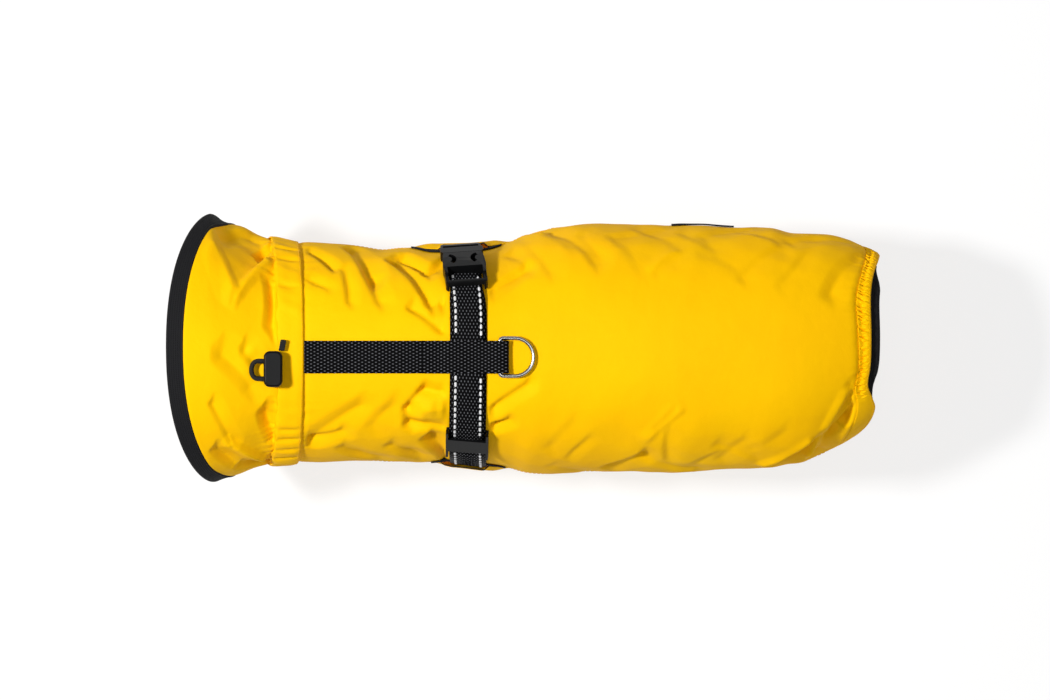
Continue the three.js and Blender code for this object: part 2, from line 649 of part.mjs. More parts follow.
// A round wire along a closed flat outline
function wireRing(places, radius, sides) {
  const count = places.length;
  const geometry = new THREE.BufferGeometry();
  const points = [];
  const index = [];
  places.forEach((place, i) => {
    const along = places[(i + 1) % count].clone().sub(places[(i + count - 1) % count]).normalize();
    const sideways = new THREE.Vector3(along.y, -along.x, 0);
    for (let k = 0; k < sides; k += 1) {
      const turn = 2 * Math.PI * k / sides;
      const point = place.clone().addScaledVector(sideways, radius * Math.cos(turn));
      points.push(point.x, point.y, point.z + radius * Math.sin(turn));
      const next = ((i + 1) % count) * sides;
      const [a, b, c, d] = [i * sides + k, next + k, next + (k + 1) % sides, i * sides + (k + 1) % sides];
      index.push(a, b, c, a, c, d);
    }
  });
  geometry.setAttribute('position', new THREE.Float32BufferAttribute(points, 3));
  geometry.setIndex(index);
  geometry.computeVertexNormals();
  return geometry;
}

function makeRing() {
  const outlineOfD = new THREE.Path();
  const { halfWidth, corner, reach } = ring;
  outlineOfD.moveTo(0, -halfWidth + corner);
  outlineOfD.absarc(corner, -halfWidth + corner, corner, Math.PI, 1.5 * Math.PI, false);
  outlineOfD.absarc(reach, 0, halfWidth, -0.5 * Math.PI, 0.5 * Math.PI, false);
  outlineOfD.absarc(corner, halfWidth - corner, corner, 0.5 * Math.PI, Math.PI, false);
  const places = outlineOfD.getPoints(6).map((p) => new THREE.Vector3(p.x, p.y, 0));
  const separate = places.filter((p, i) => p.distanceTo(places[(i + 1) % places.length]) > 0.2);
  const mesh = addPiece('d_ring', wireRing(separate, ring.wire / 2, 8), steel);
  mesh.position.set(ring.x, 0, formPoint(ring.x, 0, ring.height).z);
}

// The cord lock over the front edge of the casing, with the loop of drawcord that stands out of it
function makeCordLock() {
  const lock = { x: -145.2, y: -9.0, alongCoat: 14, across: 27, low: 1.6, bevel: 1.6, high: 12.4 };
  const base = formPoint(lock.x, -6, 0).z;
  const half = { x: lock.alongCoat / 2 - lock.bevel, y: lock.across / 2 - lock.bevel };
  const round = 3.2;
  const shape = new THREE.Shape();
  shape.absarc(half.x - round, half.y - round, round, 0, Math.PI / 2, false);
  shape.absarc(-half.x + round, half.y - round, round, Math.PI / 2, Math.PI, false);
  shape.absarc(-half.x + round, -half.y + round, round, Math.PI, 1.5 * Math.PI, false);
  shape.absarc(half.x - round, -half.y + round, round, 1.5 * Math.PI, 2 * Math.PI, false);
  shape.closePath();
  const body = new THREE.ExtrudeGeometry(shape, {
    depth: lock.high - 2 * lock.bevel,
    bevelThickness: lock.bevel,
    bevelSize: lock.bevel,
    bevelSegments: 2,
    curveSegments: 3,
  });
  const mesh = addPiece('cord_lock', body, blackPlastic);
  mesh.position.set(lock.x, lock.y, base + lock.low + lock.bevel);

  const cord = { diameter: 3.6, z: base + lock.low + 4.1, face: lock.x - lock.alongCoat / 2 - seamGap };
  const span = { near: -3.0, far: -16.2, bulge: 4.2, flat: 0.72 };
  const radius = (span.near - span.far) / 2;
  const places = [[cord.face, span.near], [cord.face - span.bulge * 0.6, span.near]];
  for (const part of steps(8)) {
    const turn = Math.PI * (0.5 + part);
    places.push([
      cord.face - span.bulge + Math.cos(turn) * radius * span.flat,
      (span.near + span.far) / 2 + Math.sin(turn) * radius,
    ]);
  }
  places.push([cord.face - span.bulge * 0.6, span.far], [cord.face, span.far]);
  const curve = new THREE.CatmullRomCurve3(places.map(([x, y]) => new THREE.Vector3(x, y, cord.z)));
  const ringShape = new THREE.Shape().absarc(0, 0, cord.diameter / 2, 0, 2 * Math.PI, false);
  const along = { steps: 16, extrudePath: curve, curveSegments: 3 };
  addPiece('cord_loop', new THREE.ExtrudeGeometry(ringShape, along), blackWebbing);

  const tab = { x: -139.0, y: 8.8, long: 8.4, thick: 3.0, z: base + lock.low + 3.2 };
  const end = tab.long / 2;
  const tabShape = outline([[-2.2, -end], [2.2, -end], [3.6, end - 1], [2.4, end], [-0.6, end]]);
  const tabMesh = addPiece('cord_tab', extruded(tabShape, 0, tab.thick), blackPlastic);
  tabMesh.position.set(tab.x, tab.y, tab.z - tab.thick / 2 + 0.6);
}

makePanels();
makeHem();
makeSlitEdging();
girthPiece('girth_strap_top', -49, 43.5, 28);
girthPiece('girth_strap_under', -296.9, -49.4, 48);
makeSpineStrap();
makeBuckle();
makeSlider();
makeRing();
makeCordLock();

export default coat;
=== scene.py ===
import math

import bpy
import numpy as np
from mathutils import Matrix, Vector


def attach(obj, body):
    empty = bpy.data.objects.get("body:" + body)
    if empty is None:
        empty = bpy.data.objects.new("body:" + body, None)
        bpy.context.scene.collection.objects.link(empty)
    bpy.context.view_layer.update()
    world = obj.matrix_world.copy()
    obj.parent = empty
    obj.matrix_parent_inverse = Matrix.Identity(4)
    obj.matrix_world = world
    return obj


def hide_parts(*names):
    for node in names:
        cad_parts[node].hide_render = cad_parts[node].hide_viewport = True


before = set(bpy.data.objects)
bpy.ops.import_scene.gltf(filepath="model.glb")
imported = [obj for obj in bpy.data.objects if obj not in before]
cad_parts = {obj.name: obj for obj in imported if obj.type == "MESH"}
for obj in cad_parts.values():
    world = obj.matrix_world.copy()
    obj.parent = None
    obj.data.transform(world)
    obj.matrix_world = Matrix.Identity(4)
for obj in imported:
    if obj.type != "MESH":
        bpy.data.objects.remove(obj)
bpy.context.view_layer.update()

# Shapes are worked out in millimetres in the coat's own frame and put into Blender in metres:
# x runs from the collar to the hem, y is the buckle side, z is up from the back,
# and an angle runs round the body, 0 on the spine and growing to the buckle side.
mm = 0.001

# Camera: straight above the back, far away, as the photograph was taken
view = {"height": 9.0, "centre": (42.75, 5.25), "frameWidth": 787.5, "sharpAt": -40.0, "sensor": 36.0}
cameraData = bpy.data.cameras.new("camera")
cameraData.sensor_width = view["sensor"]
cameraData.lens = view["sensor"] * (view["height"] / mm - view["sharpAt"]) / view["frameWidth"]
camera = bpy.data.objects.new("camera", cameraData)
camera.location = (view["centre"][0] * mm, view["centre"][1] * mm, view["height"])
bpy.context.scene.collection.objects.link(camera)
bpy.context.scene.camera = camera
bpy.context.scene.view_settings.view_transform = "Standard"

# Outer outline of the cloth at each station
outline = {
    "x": [-226.5, -195, -184.5, -171, -154.5, -133.5, -118.5, -88.5, -66, -43.5, -13.5, 9, 31.5, 46.5, 61.5,
          91.5, 121.5, 166.5, 196.5, 226.5, 241.5, 256.5, 271.5, 286.5, 294, 301.5, 312],
    "left": [113, 109.5, 102, 98.3, 91, 85.5, 86.3, 84.8, 81.4, 82.5, 82.6, 83.5, 87, 93.8, 97.6, 100.5, 99.8,
             99, 97.5, 97.8, 94.5, 93, 91.6, 88.2, 84.8, 81.8, 76.5],
    "right": [-97, -95.3, -91.5, -87.8, -81.5, -79, -78.8, -79, -78.8, -79, -79, -81.5, -83.6, -87.3, -88,
              -87.4, -86, -86.8, -84.2, -83.6, -81.2, -78, -70.8, -62.3, -57.8, -53.8, -47.5],
    "top": [15, 12, 10, 6, 1, -2, -1, 0, 0.6, 1.1, 1.5, 1.8, 2.4, 3, 3.6, 4.4, 4.5, 3, 1, -2, -4, -7, -10.5,
            -14.5, -17, -19.5, -23],
    "bottom": [-186, -180, -174, -168, -161, -158, -163, -178, -188, -196, -200, -201, -199, -196, -193, -186,
               -180, -172, -166, -160, -157, -154, -150, -146, -143, -140, -136],
}

# Angle of the side seams at each station
seams = {
    "x": [-140, -66, -48, -30, -8, 12, 24, 38, 64, 110, 312],
    "left": [97, 94, 86, 77.5, 76, 77, 81, 87, 94, 98, 98],
    "right": [-97, -96, -92, -86, -83, -83, -86, -92, -97, -98, -98],
}

# Where the hem's casing starts and ends at each angle
hem = {
    "angle": [-225, -180, -135, -110, -90, -70, -52, -40, -29, -16, 0, 22, 34, 47, 64, 83, 100, 135, 180, 225],
    "start": [231, 188, 230, 262, 277, 285, 291, 292, 290, 293, 292.5, 291, 293, 296, 299, 298.5, 290, 232,
              188, 231],
    "end": [242.7, 199, 242, 275, 291, 301, 305.5, 303, 299.6, 301.4, 302, 301.6, 302.4, 304.6, 308.2, 309,
            301, 243.5, 199, 242.7],
}

form = {"roundness": 2.15, "bandWidth": 13.0, "seamGap": 0.3, "tuck": 2.2, "wall": 0.9}
perDegree = 1.55  # millimetres of cloth round the body

# Edges at the neck: the station on the spine and how it moves on round the coat, as powers of the sweep;
# the middle is a line inside the drawcord's casing
neck = {"rim": (-225, 37, 6.4, -8.3), "front": (-142, -7.5), "rear": (-122.6, -6), "middle": -132}


def smoothStep(low, high, value):
    # 0 below low, 1 above high, and an S between them
    part = np.clip((value - low) / (high - low), 0, 1)
    return part * part * (3 - 2 * part)


def throughRows(keys, values, at):
    # Smooth curve through a table's rows: a cubic between two rows, each row's slope taken from its neighbours
    keys = np.asarray(keys, float)
    values = np.asarray(values, float)
    slopes = np.empty(len(keys))
    slopes[1:-1] = (values[2:] - values[:-2]) / (keys[2:] - keys[:-2])
    slopes[0] = (values[1] - values[0]) / (keys[1] - keys[0])
    slopes[-1] = (values[-1] - values[-2]) / (keys[-1] - keys[-2])
    at = np.clip(at, keys[0], keys[-1])
    i = np.clip(np.searchsorted(keys, at, side="left") - 1, 0, len(keys) - 2)
    span = keys[i + 1] - keys[i]
    t = (at - keys[i]) / span
    rise = t * t * (3 - 2 * t)
    bend = t * (1 - t) * span * ((1 - t) * slopes[i] - t * slopes[i + 1])
    return values[i] * (1 - rise) + values[i + 1] * rise + bend


def wrapAngle(angle):
    # The same angle between -180 and 180
    return angle - 360 * np.round(angle / 360)


def neckEdge(name, angle):
    # The sweep is 0 on the spine and 2 at the throat
    sweep = 1 - np.cos(np.radians(angle))
    return sum(share * sweep ** k for k, share in enumerate(neck[name]))


def rimEdge(angle):
    return neckEdge("rim", angle)


def bandEdge(angle):
    return rimEdge(angle) + form["bandWidth"]


def channelFront(angle):
    return neckEdge("front", angle)


def channelRear(angle):
    return neckEdge("rear", angle)


def hemStart(angle):
    return throughRows(hem["angle"], hem["start"], wrapAngle(angle))


def hemEnd(angle):
    return throughRows(hem["angle"], hem["end"], wrapAngle(angle))


def seamLeft(x):
    return throughRows(seams["x"], seams["left"], x)


def seamRight(x):
    return throughRows(seams["x"], seams["right"], x)


def outlineAt(x, *sides):
    return [throughRows(outline["x"], outline[side], x) for side in sides]


def signedPower(value, power):
    # Power of the size, with the sign kept
    return np.sign(value) * np.abs(value) ** power


def formPoint(x, angle, out=0.0):
    # Each section is a rounded oval (a superellipse) in its own outline, moved out along its normal
    x, angle, out = np.broadcast_arrays(np.asarray(x, float), np.asarray(angle, float), np.asarray(out, float))
    left, right, top, bottom = outlineAt(x, "left", "right", "top", "bottom")
    halfWidth, halfHeight = (left - right) / 2, (top - bottom) / 2
    turn = np.radians(angle)
    power = 2 / form["roundness"]
    bend = 2 - power
    normalY = signedPower(np.sin(turn), bend) / halfWidth
    normalZ = signedPower(np.cos(turn), bend) / halfHeight
    size = np.hypot(normalY, normalZ)
    y = (left + right) / 2 + halfWidth * signedPower(np.sin(turn), power) + out * normalY / size
    z = (top + bottom) / 2 + halfHeight * signedPower(np.cos(turn), power) + out * normalZ / size
    return np.stack([x, y, z], axis=-1)


# Creases on the cloth, listed one by one: a trough (or a ridge, where the depth is above 0) from one place
# to another, each place a station x and an angle; the bow bends it sideways, all in millimetres
creases = [
    # x0, angle0, x1, angle1, depth, width, bow
    (-170, 24, -148, 50, 1.5, 4, 0), (-188, 50, -174, 28, 1.4, 5, 1), (-151, 38, -149.5, 12, -3.4, 6, 2),
    (-154.5, -32, -148, -51, -3.2, 6, 0), (-192, -23, -178.5, -45, -1.4, 3, 1), (-175, -46, -152, -67, 2.7, 3, 1),
    (-191, -49, -177, -65, -2.6, 4, 0), (-186, -2, -165, -16, -1.9, 7, 2), (-168, 0, -162, -4.5, -1.6, 4, 0),
    (-160, 60, -148, 74, -2.9, 4, 1), (-172, -70, -152, -84, -2.9, 4, -1), (-188, 64, -166, 80, -2.2, 5, 2),
    # front of the body
    (-92, 75, -76, 47, -3.8, 5, 1), (-94.5, 49.5, -90, 27, -1.9, 3, 1), (-75, 43.5, -68, 29, -2.2, 4, 0),
    (-58.5, 62, -30, 28, -3.8, 5, 2), (-51, 66.5, -36, 53.5, -2.9, 3, 0), (-32, 50, -22.5, 59, -2.9, 4, 0),
    (-19.5, 29, -16, 17, -2.9, 4, 0), (-43.5, 24.5, -17, 9, -2.1, 4, 1), (-122, 67, -103.5, 50, -2.4, 3, 1),
    (-120, 40, -106, 35, -1.4, 3, 0), (-122, -54, -96, -46, -2.1, 4, 0), (-122, -51.5, -83, -28, -1.9, 8, 2),
    (-73.5, -40, -58.5, -27, -1.4, 6, 1), (-16, -19, -34.5, -18, -1.9, 3.5, 1), (-34.5, -18, -47, -29, -2.3, 3.5, -1),
    (-47, -29, -46, -40, -2.0, 3.5, -1), (-46, -40, -16, -41.5, -1.9, 3.5, 1), (-30, -28, -20, -28, 2.2, 8, 0),
    (-32, -52, -17, -78, -4.2, 6, 1), (-60, -58, -40, -72, -2.2, 5, 1), (-96, -60, -70, -76, -1.9, 5, -2),
    # rear of the body
    (43, 90, 93, 43, -1.8, 5, 3), (37, 79, 59, 40, -0.9, 5, -2), (140, 39, 157, 50, 0.6, 2.5, 1),
    (140, 36, 160, 47, -0.5, 3, 1), (268, 26, 292, 57, -1.6, 7, 2), (204, 34, 230, 54, -0.7, 4, 1),
    (232, 30, 250.5, 50.5, -0.7, 4, -1), (258, -86, 286, -27, -3.8, 8, 3), (279, -53, 291, -38, -3.4, 3.5, 0),
    (259.5, -73.5, 286.5, -29, 2.3, 2.5, 2), (230, -82, 260, -58, -4.2, 6, 1), (224, -73, 258, -55, 1.6, 2.5, 0),
    (136.5, -45, 160.5, -28, 0.9, 3, 1), (140, -38.5, 153, -28.5, -0.7, 3, 0), (148.5, -64, 148.5, -41.5, -0.9, 3, 1),
    (104, -73, 129, -61, -2.0, 5, 0), (129, -61, 170, -81, -1.4, 5, -2), (74, -59, 89, -45.5, -0.8, 3, 1),
    (16.5, -38.5, 29, -34.6, -2.9, 3, 0), (16, -28, 44, -14, -1.9, 3, 1), (16, 34, 40, 44, -1.9, 4, 1),
    (176, 66, 214, 82, -1.1, 6, 2), (108, 62, 150, 78, -0.9, 6, -3), (186, -52, 214, -64, -0.9, 5, 2),
    (62, -70, 84, -86, -1.2, 6, 1), (242, 66, 284, 78, -1.1, 6, 2), (58, 72, 74, 56, -1.0, 5, 1),
    (84, 66, 96, 48, -0.8, 5, -1), (112, 58, 124, 42, -0.6, 6, 1), (126, 74, 150, 60, -0.9, 6, 1),
    (160, 70, 182, 55, -0.8, 6, -1), (176, 50, 200, 40, -0.5, 6, 1), (206, 74, 232, 62, -0.9, 6, 1),
    (30, 60, 44, 44, -1.0, 5, 1), (188, -66, 204, -50, -0.8, 5, 1), (212, -56, 236, -44, -0.7, 6, -1),
    (166, -72, 186, -60, -0.9, 5, 1), (60, -50, 76, -36, -0.6, 5, 1),
    # belly and both flanks
    (40, -130, 90, -150, -3.0, 8, 3), (60, 128, 110, 146, -3.0, 8, -3), (-40, 118, -10, 140, -1.8, 6, 2),
    (-44, -116, -14, -142, -1.8, 6, -2), (10, 112, 60, 106, -1.8, 6, 3), (10, -112, 54, -108, -1.8, 6, -3),
    (120, 112, 178, 122, -2.0, 7, 4), (128, -110, 184, -124, -2.0, 7, -4), (-120, 112, -104, 128, -1.4, 5, 1),
    (-120, -110, -106, -130, -1.4, 5, -1), (130, 152, 168, 168, -1.6, 7, 3), (96, -160, 150, -172, -1.8, 8, 4),
    (-30, 160, 20, 172, -1.4, 8, 3), (200, 108, 240, 116, -1.8, 6, 2), (206, -106, 246, -114, -1.8, 6, -2),
]


# How a crease falls away beside its line, measured in its own width: steep on the side that faces the hem, which
# the light leaves dark, and gentle on the other, up to the widest reach in millimetres
crease = {"gain": 2.1, "slide": 0.5, "dark": 1.2, "lit": 3.0, "widest": 16.0, "turn": 0.35, "tip": 0.003,
          "straight": 0.72, "uneven": 0.18}


def underSpineStrap(x):
    # The stations that the spine strap covers
    return (x > -126) & (x < 56)


def foldsOut(x, angle):
    # Sum over the creases of depth times a straight-sided fall-off; the listed line runs along the middle of the
    # dark side. The distance is taken on the unrolled cloth, to a chord that the bow bends into an arc.
    turned = wrapAngle(angle)
    total = np.zeros(np.broadcast(x, turned).shape)
    for k, (x0, angle0, x1, angle1, depth, width, bow) in enumerate(creases):
        kind = math.copysign(1.0, depth)
        chordX, chordY = x1 - x0, (angle1 - angle0) * perDegree
        length = math.hypot(chordX, chordY)
        slide = -crease["slide"] * width * kind * abs(chordY) / length
        fromX, fromY = x - x0 - slide, (turned - angle0) * perDegree
        part = np.clip((fromX * chordX + fromY * chordY) / length ** 2, 0, 1)
        sideways = 4 * bow * part * (1 - part) / length
        awayX = fromX - part * chordX + sideways * chordY
        awayY = fromY - part * chordY - sideways * chordX
        dark, lit = crease["dark"] * width, min(crease["lit"] * width, crease["widest"])
        reach = (lit + dark) / 2 - (lit - dark) / 2 * np.tanh(kind * awayX / (crease["turn"] * width))
        away = np.sqrt((awayX ** 2 + awayY ** 2) / reach ** 2 + crease["tip"]) - math.sqrt(crease["tip"])
        fall = np.clip(1 - away, 0, 1)
        fall = fall * (crease["straight"] + (1 - crease["straight"]) * fall)
        total += crease["gain"] * depth * fall * (1 - crease["uneven"] * (1 - np.cos(5.0 * part + 1.7 * k)))
    offStraps = smoothStep(14.0, 18.5, np.abs(x))
    offSpine = np.where(underSpineStrap(x), smoothStep(8.3, 10.5, np.abs(turned)), 1)
    offEdges = smoothStep(0, 7, hemStart(turned) - x) * smoothStep(0, 8, x - bandEdge(turned))
    return total * offStraps * offSpine * offEdges * smoothStep(0, 3, np.abs(x - neck["middle"]) - 10)


def softSwell(x, angle):
    # Slow unevenness of a cloth that hangs free between its seams, a sum of a few crossing waves
    across = wrapAngle(angle) * perDegree
    swell = np.sin(x / 17.0 + across / 41.0) * np.sin(across / 23.0 - x / 53.0)
    swell = swell + 0.6 * np.sin(x / 9.5 - across / 15.0 + 1.3) * np.sin(across / 31.0 + x / 27.0)
    swell = swell + 0.55 * np.sin(x / 4.6 + across / 8.5 + 0.7) * np.sin(across / 6.0 - x / 13.0) * np.sin(x / 31.0)
    quiet = 0.2 + 0.8 * smoothStep(18, 46, np.abs(wrapAngle(angle)))
    return 0.55 * swell * quiet * smoothStep(14, 40, np.abs(x)) * smoothStep(3, 20, hemStart(angle) - x)


pucker = {"height": 1.25, "front": 0.9, "rear": 0.8, "frontFade": 6.5, "rearFade": 7.5}


def channelPuckers(x, angle):
    # Short puckers on both sides of the drawcord casing, where the cord draws the cloth in, uneven in spacing
    turned = wrapAngle(angle)
    phase = turned * 0.62 + 1.6 * np.sin(turned * 0.11) + 0.9 * np.sin(turned * 0.29 + 1)
    strength = pucker["height"] * (0.25 + 0.75 * smoothStep(16, 34, np.abs(turned)))
    toFront = pucker["front"] * np.exp(-np.maximum(channelFront(turned) - x, 0) / pucker["frontFade"])
    toRear = pucker["rear"] * np.exp(-np.maximum(x - channelRear(turned), 0) / pucker["rearFade"])
    return strength * np.where(x < neck["middle"], toFront, toRear) * (np.abs(np.cos(phase)) - 0.75)


def raisedOut(x, angle):
    # Creases, swell and puckers together, as all the body's cloth has them
    return foldsOut(x, angle) + softSwell(x, angle) + channelPuckers(x, angle)


gathers = {"pitch": 3.6, "from": -38, "to": 95, "depth": 1.7, "bodyPitch": 7.2, "bodyShare": 0.7, "bodyFade": 6.5}


def gatherWave(angle, pitch):
    # Rounded ridges with narrow valleys between them, one every pitch, drifting a little as hand-fed elastic does
    turned = wrapAngle(angle)
    inside = smoothStep(gathers["from"] - 3, gathers["from"] + 3, turned)
    inside = inside * (1 - smoothStep(gathers["to"] - 4, gathers["to"] + 4, turned))
    uneven = 0.78 + 0.22 * np.sin(turned * 0.9) * np.cos(turned * 0.37)
    drift = 0.3 * np.sin(turned * 0.47) + 0.22 * np.sin(turned * 1.13)
    wave = np.abs(np.cos(math.pi * (turned / pitch + drift)))
    return gathers["depth"] * inside * uneven * (1.35 * wave - 0.95)


def hemPleated(angle):
    # 1 along the part of the hem that the elastic gathers
    turned = wrapAngle(angle)
    return smoothStep(gathers["from"] - 3, gathers["from"] + 6, turned) * (
        1 - smoothStep(gathers["to"] - 30, gathers["to"], turned))


slit = {"dip": 0.9, "bulge": 4.6, "from": -46, "rightLater": 15, "to": 26, "edging": 6.0, "thick": 1.0, "lift": 0.5,
        "strapAt": -3.5}


def pastSeam(x, turned):
    # Degrees from a place to the side seam on its own side
    return np.abs(turned - np.where(turned > 0, seamLeft(x), seamRight(x)))


def slitNear(x, angle, reach):
    # 1 on a slit, falling to 0 past its ends and at reach degrees beside it
    turned = wrapAngle(angle)
    start = slit["from"] + slit["rightLater"] * (turned <= 0)
    span = smoothStep(start, start + 20, x) * (1 - smoothStep(slit["to"] - 9, slit["to"] + 8, x))
    return span * (1 - smoothStep(0, reach, pastSeam(x, turned)))


def underEdge(past):
    # 1 where a cloth runs on under the piece that it is sewn to, 0 from the seam on
    return smoothStep(-0.9, 0.5, past)


def lipOut(x, angle):
    # The belly's lip stands off where the strap comes through, and elsewhere starts close under the back's lip
    apart = np.maximum(smoothStep(0, 7, pastSeam(x, wrapAngle(angle))),
                       1 - smoothStep(14.5, 20, np.abs(x - slit["strapAt"])))
    return slit["bulge"] * slitNear(x, angle, 24) * (0.2 + 0.8 * apart)


def backOut(x, angle):
    # Creases and gathers wherever no strap lies, less the dip at the slits, the groove behind the casing and the
    # fall to the hem; both ends run on under their neighbours
    toHem = gathers["bodyShare"] * np.exp(-np.maximum(hemStart(angle) - x, 0) / gathers["bodyFade"])
    raised = raisedOut(x, angle) + gatherWave(angle, gathers["bodyPitch"]) * toHem
    underStraps = np.maximum(1 - smoothStep(14.2, 19.5, np.abs(x)),
                             underSpineStrap(x) * (1 - smoothStep(8.5, 11, np.abs(wrapAngle(angle)))))
    free = raised * (1 - underStraps) - slit["dip"] * slitNear(x, angle, 14)
    # a groove behind the casing's seam, and the fall to the gathered hem
    free = free - 1.3 * np.exp(-np.abs(x - channelRear(angle) - 0.3) / 1.2)
    drawnIn = hemPleated(angle)
    free = free - drawnIn * smoothStep(-5, 0, x - hemStart(angle))
    casing, hidden = underEdge(channelRear(angle) - x), underEdge(x - hemStart(angle))
    return free * (1 - np.maximum(casing, hidden)) + 0.45 * casing - (0.7 + 1.9 * drawnIn) * hidden


legHoles = {"x": -80.0, "y": 47.0, "along": 26.0, "across": 21.0, "hem": 6.0, "rise": 0.5, "stitches": 4.6,
            "perShare": 23.5}


def legDistance(points):
    # How far a place is outside the nearer leg opening, as a share of the opening's own size
    along = (points[..., 0] - legHoles["x"]) / legHoles["along"]
    across = (np.abs(points[..., 1]) - legHoles["y"]) / legHoles["across"]
    return np.hypot(along, across)


def bellyOut(x, angle):
    # Creases, the turned hems of the leg openings and the lips of the slits; it runs on under casing, hem and back
    turned = wrapAngle(angle)
    beyond = (legDistance(formPoint(x, angle)) - 1) * legHoles["perShare"]
    turnedHem = (np.abs(turned) > 110) * (1 - smoothStep(legHoles["hem"] - 0.8, legHoles["hem"] + 0.4, beyond))
    free = raisedOut(x, angle) + legHoles["rise"] * turnedHem + lipOut(x, angle)
    beside = np.where(turned > 0, seamLeft(x) - turned, turned - seamRight(x)) * perDegree
    closed = 1 - smoothStep(slit["from"] - 6, slit["from"] + 2, x) * (1 - smoothStep(slit["to"], slit["to"] + 8, x))
    casing = underEdge(channelRear(angle) - x)
    hidden = np.maximum(underEdge(x - hemStart(angle)), underEdge(beside) * closed)
    return free * (1 - np.maximum(casing, hidden)) + 0.45 * casing * (1 - hidden) - 1.1 * hidden


# Materials: each is begun with its name and its finish


def hexColour(text):
    # An sRGB hex value as linear red, green, blue and 1
    parts = [int(text[i:i + 2], 16) / 255 for i in (1, 3, 5)]
    return [p / 12.92 if p <= 0.04045 else ((p + 0.055) / 1.055) ** 2.4 for p in parts] + [1.0]


def startMaterial(name, slotName, **finish):
    # Principled material; finish names its sockets, with _ for a space
    material = bpy.data.materials.new(name)
    material.use_nodes = True
    for key, value in finish.items():
        material.node_tree.nodes["Principled BSDF"].inputs[key.replace("_", " ")].default_value = value
    return material, material.node_tree


def addNode(tree, kind, inputs, **settings):
    # Shader node: inputs are socket values or links, settings its own options
    node = tree.nodes.new("ShaderNode" + kind)
    for key, value in settings.items():
        setattr(node, key, value)
    for key, value in inputs.items():
        if isinstance(value, bpy.types.NodeSocket):
            tree.links.new(value, node.inputs[key])
        else:
            node.inputs[key].default_value = value
    return node


def maths(tree, operation, a, b=0.0):
    return addNode(tree, "Math", {0: a, 1: b}, operation=operation).outputs[0]


def threadWave(tree, coordinate, pitch):
    # Cosine of a coordinate, one wave every pitch millimetres
    return maths(tree, "COSINE", maths(tree, "MULTIPLY", coordinate, 2 * math.pi / (pitch * mm)))


def clothMap(tree):
    # The cloth's own map: how far along it and how far round it
    return addNode(tree, "SeparateXYZ", {0: addNode(tree, "TexCoord", {}).outputs["UV"]}).outputs[:2]


def crossedWaves(tree, alongPitch, aroundPitch):
    # Product of two thread waves, one each way of the cloth
    along, around = clothMap(tree)
    return maths(tree, "MULTIPLY", threadWave(tree, along, alongPitch), threadWave(tree, around, aroundPitch))


def noise(tree, scale, detail=2.0, roughness=0.5):
    # Noise by place in the piece, 0 to 1
    place = addNode(tree, "TexCoord", {}).outputs["Object"]
    return addNode(tree, "TexNoise", {"Vector": place, "Scale": scale, "Detail": detail,
                                      "Roughness": roughness}).outputs["Fac"]


def between(tree, value, low, high):
    # 0 where the value is low, and 1 where it is high
    return addNode(tree, "MapRange", {"Value": value, "From Min": low, "From Max": high}).outputs[0]


def paint(tree, share, low, high):
    # Base colour, from one hex value to another
    mixed = addNode(tree, "Mix", {"Factor": share, 6: hexColour(low), 7: hexColour(high)}, data_type="RGBA")
    tree.links.new(mixed.outputs[2], tree.nodes["Principled BSDF"].inputs["Base Color"])


def emboss(tree, height, strength, distance, over=None):
    # Relief, its distance in millimetres, over the relief laid before it
    bump = addNode(tree, "Bump", {"Height": height, "Strength": strength, "Distance": distance * mm})
    if over is not None:
        tree.links.new(over, bump.inputs["Normal"])
    tree.links.new(bump.outputs[0], tree.nodes["Principled BSDF"].inputs["Normal"])
    return bump.outputs[0]


# Polyester rain cloth, plain woven and coated: a bright even colour, a satin face, faint threads and tiny crumples;
# threads 0.9 mm apart stand for real ones at 0.3 mm, which the picture can't hold
coatedPolyester, tree = startMaterial("coatedPolyester", "cloth", Roughness=0.7, Specular_IOR_Level=0.05)
paint(tree, between(tree, noise(tree, 14.0, detail=3.0), 0.35, 0.7), "#F7BA00", "#F9C000")
threads = emboss(tree, crossedWaves(tree, 0.9, 0.9), 0.10, 0.12)
emboss(tree, noise(tree, 95.0, detail=4.0, roughness=0.55), 0.35, 1.2, over=threads)

# Knitted elastic edging: dull black, ribs along its length, fine cross threads; the knit's crests are painted
# lighter, a painted highlight
ribbedElastic, tree = startMaterial("ribbedElastic", "ribbed_edging", Roughness=0.8, Specular_IOR_Level=0.1)
knit = crossedWaves(tree, 1.7, 1.3)
# painted highlight: lighter grey where the knit's relief stands highest
paint(tree, between(tree, knit, -1.0, 1.0), "#0B0B0C", "#262628")
emboss(tree, knit, 0.5, 0.2)

# Nylon webbing: near black, each float of yarn a small rounded grain whose crest is painted bright, a painted
# highlight
webbing = {"thick": 1.5, "spineHalf": 12.2, "along": 5.1, "across": 2.6, "relief": 0.3}
nylonWebbing, tree = startMaterial("nylonWebbing", "webbing", Roughness=0.55, Specular_IOR_Level=0.04)
# painted highlight: the colour turns light grey where the woven floats stand highest
paint(tree, between(tree, crossedWaves(tree, webbing["along"], webbing["across"]), 0.45, 1.0), "#020203", "#6A6B6F")
along, across = clothMap(tree)
emboss(tree, maths(tree, "ADD", threadWave(tree, along, 0.42), threadWave(tree, across, 0.64)), 0.35, 0.07)

# Injection moulded acetal: charcoal, matt from a fine spark-eroded grain, soft glints on its edges
mouldedAcetal, tree = startMaterial("mouldedAcetal", "hardware_plastic", Roughness=0.38, Specular_IOR_Level=0.16)
paint(tree, noise(tree, 120.0, detail=3.0), "#060607", "#0B0C0D")
emboss(tree, noise(tree, 2200.0), 0.25, 0.05)

# Drawn and tumbled stainless wire: bright satin with faint rubbed lines
tumbledStainless, tree = startMaterial("tumbledStainless", "ring_steel", Metallic=1.0, Roughness=0.24)
rubbed = noise(tree, 700.0, detail=4.0)
paint(tree, rubbed, "#8D8E8F", "#C6C6C3")
emboss(tree, rubbed, 0.12, 0.05)
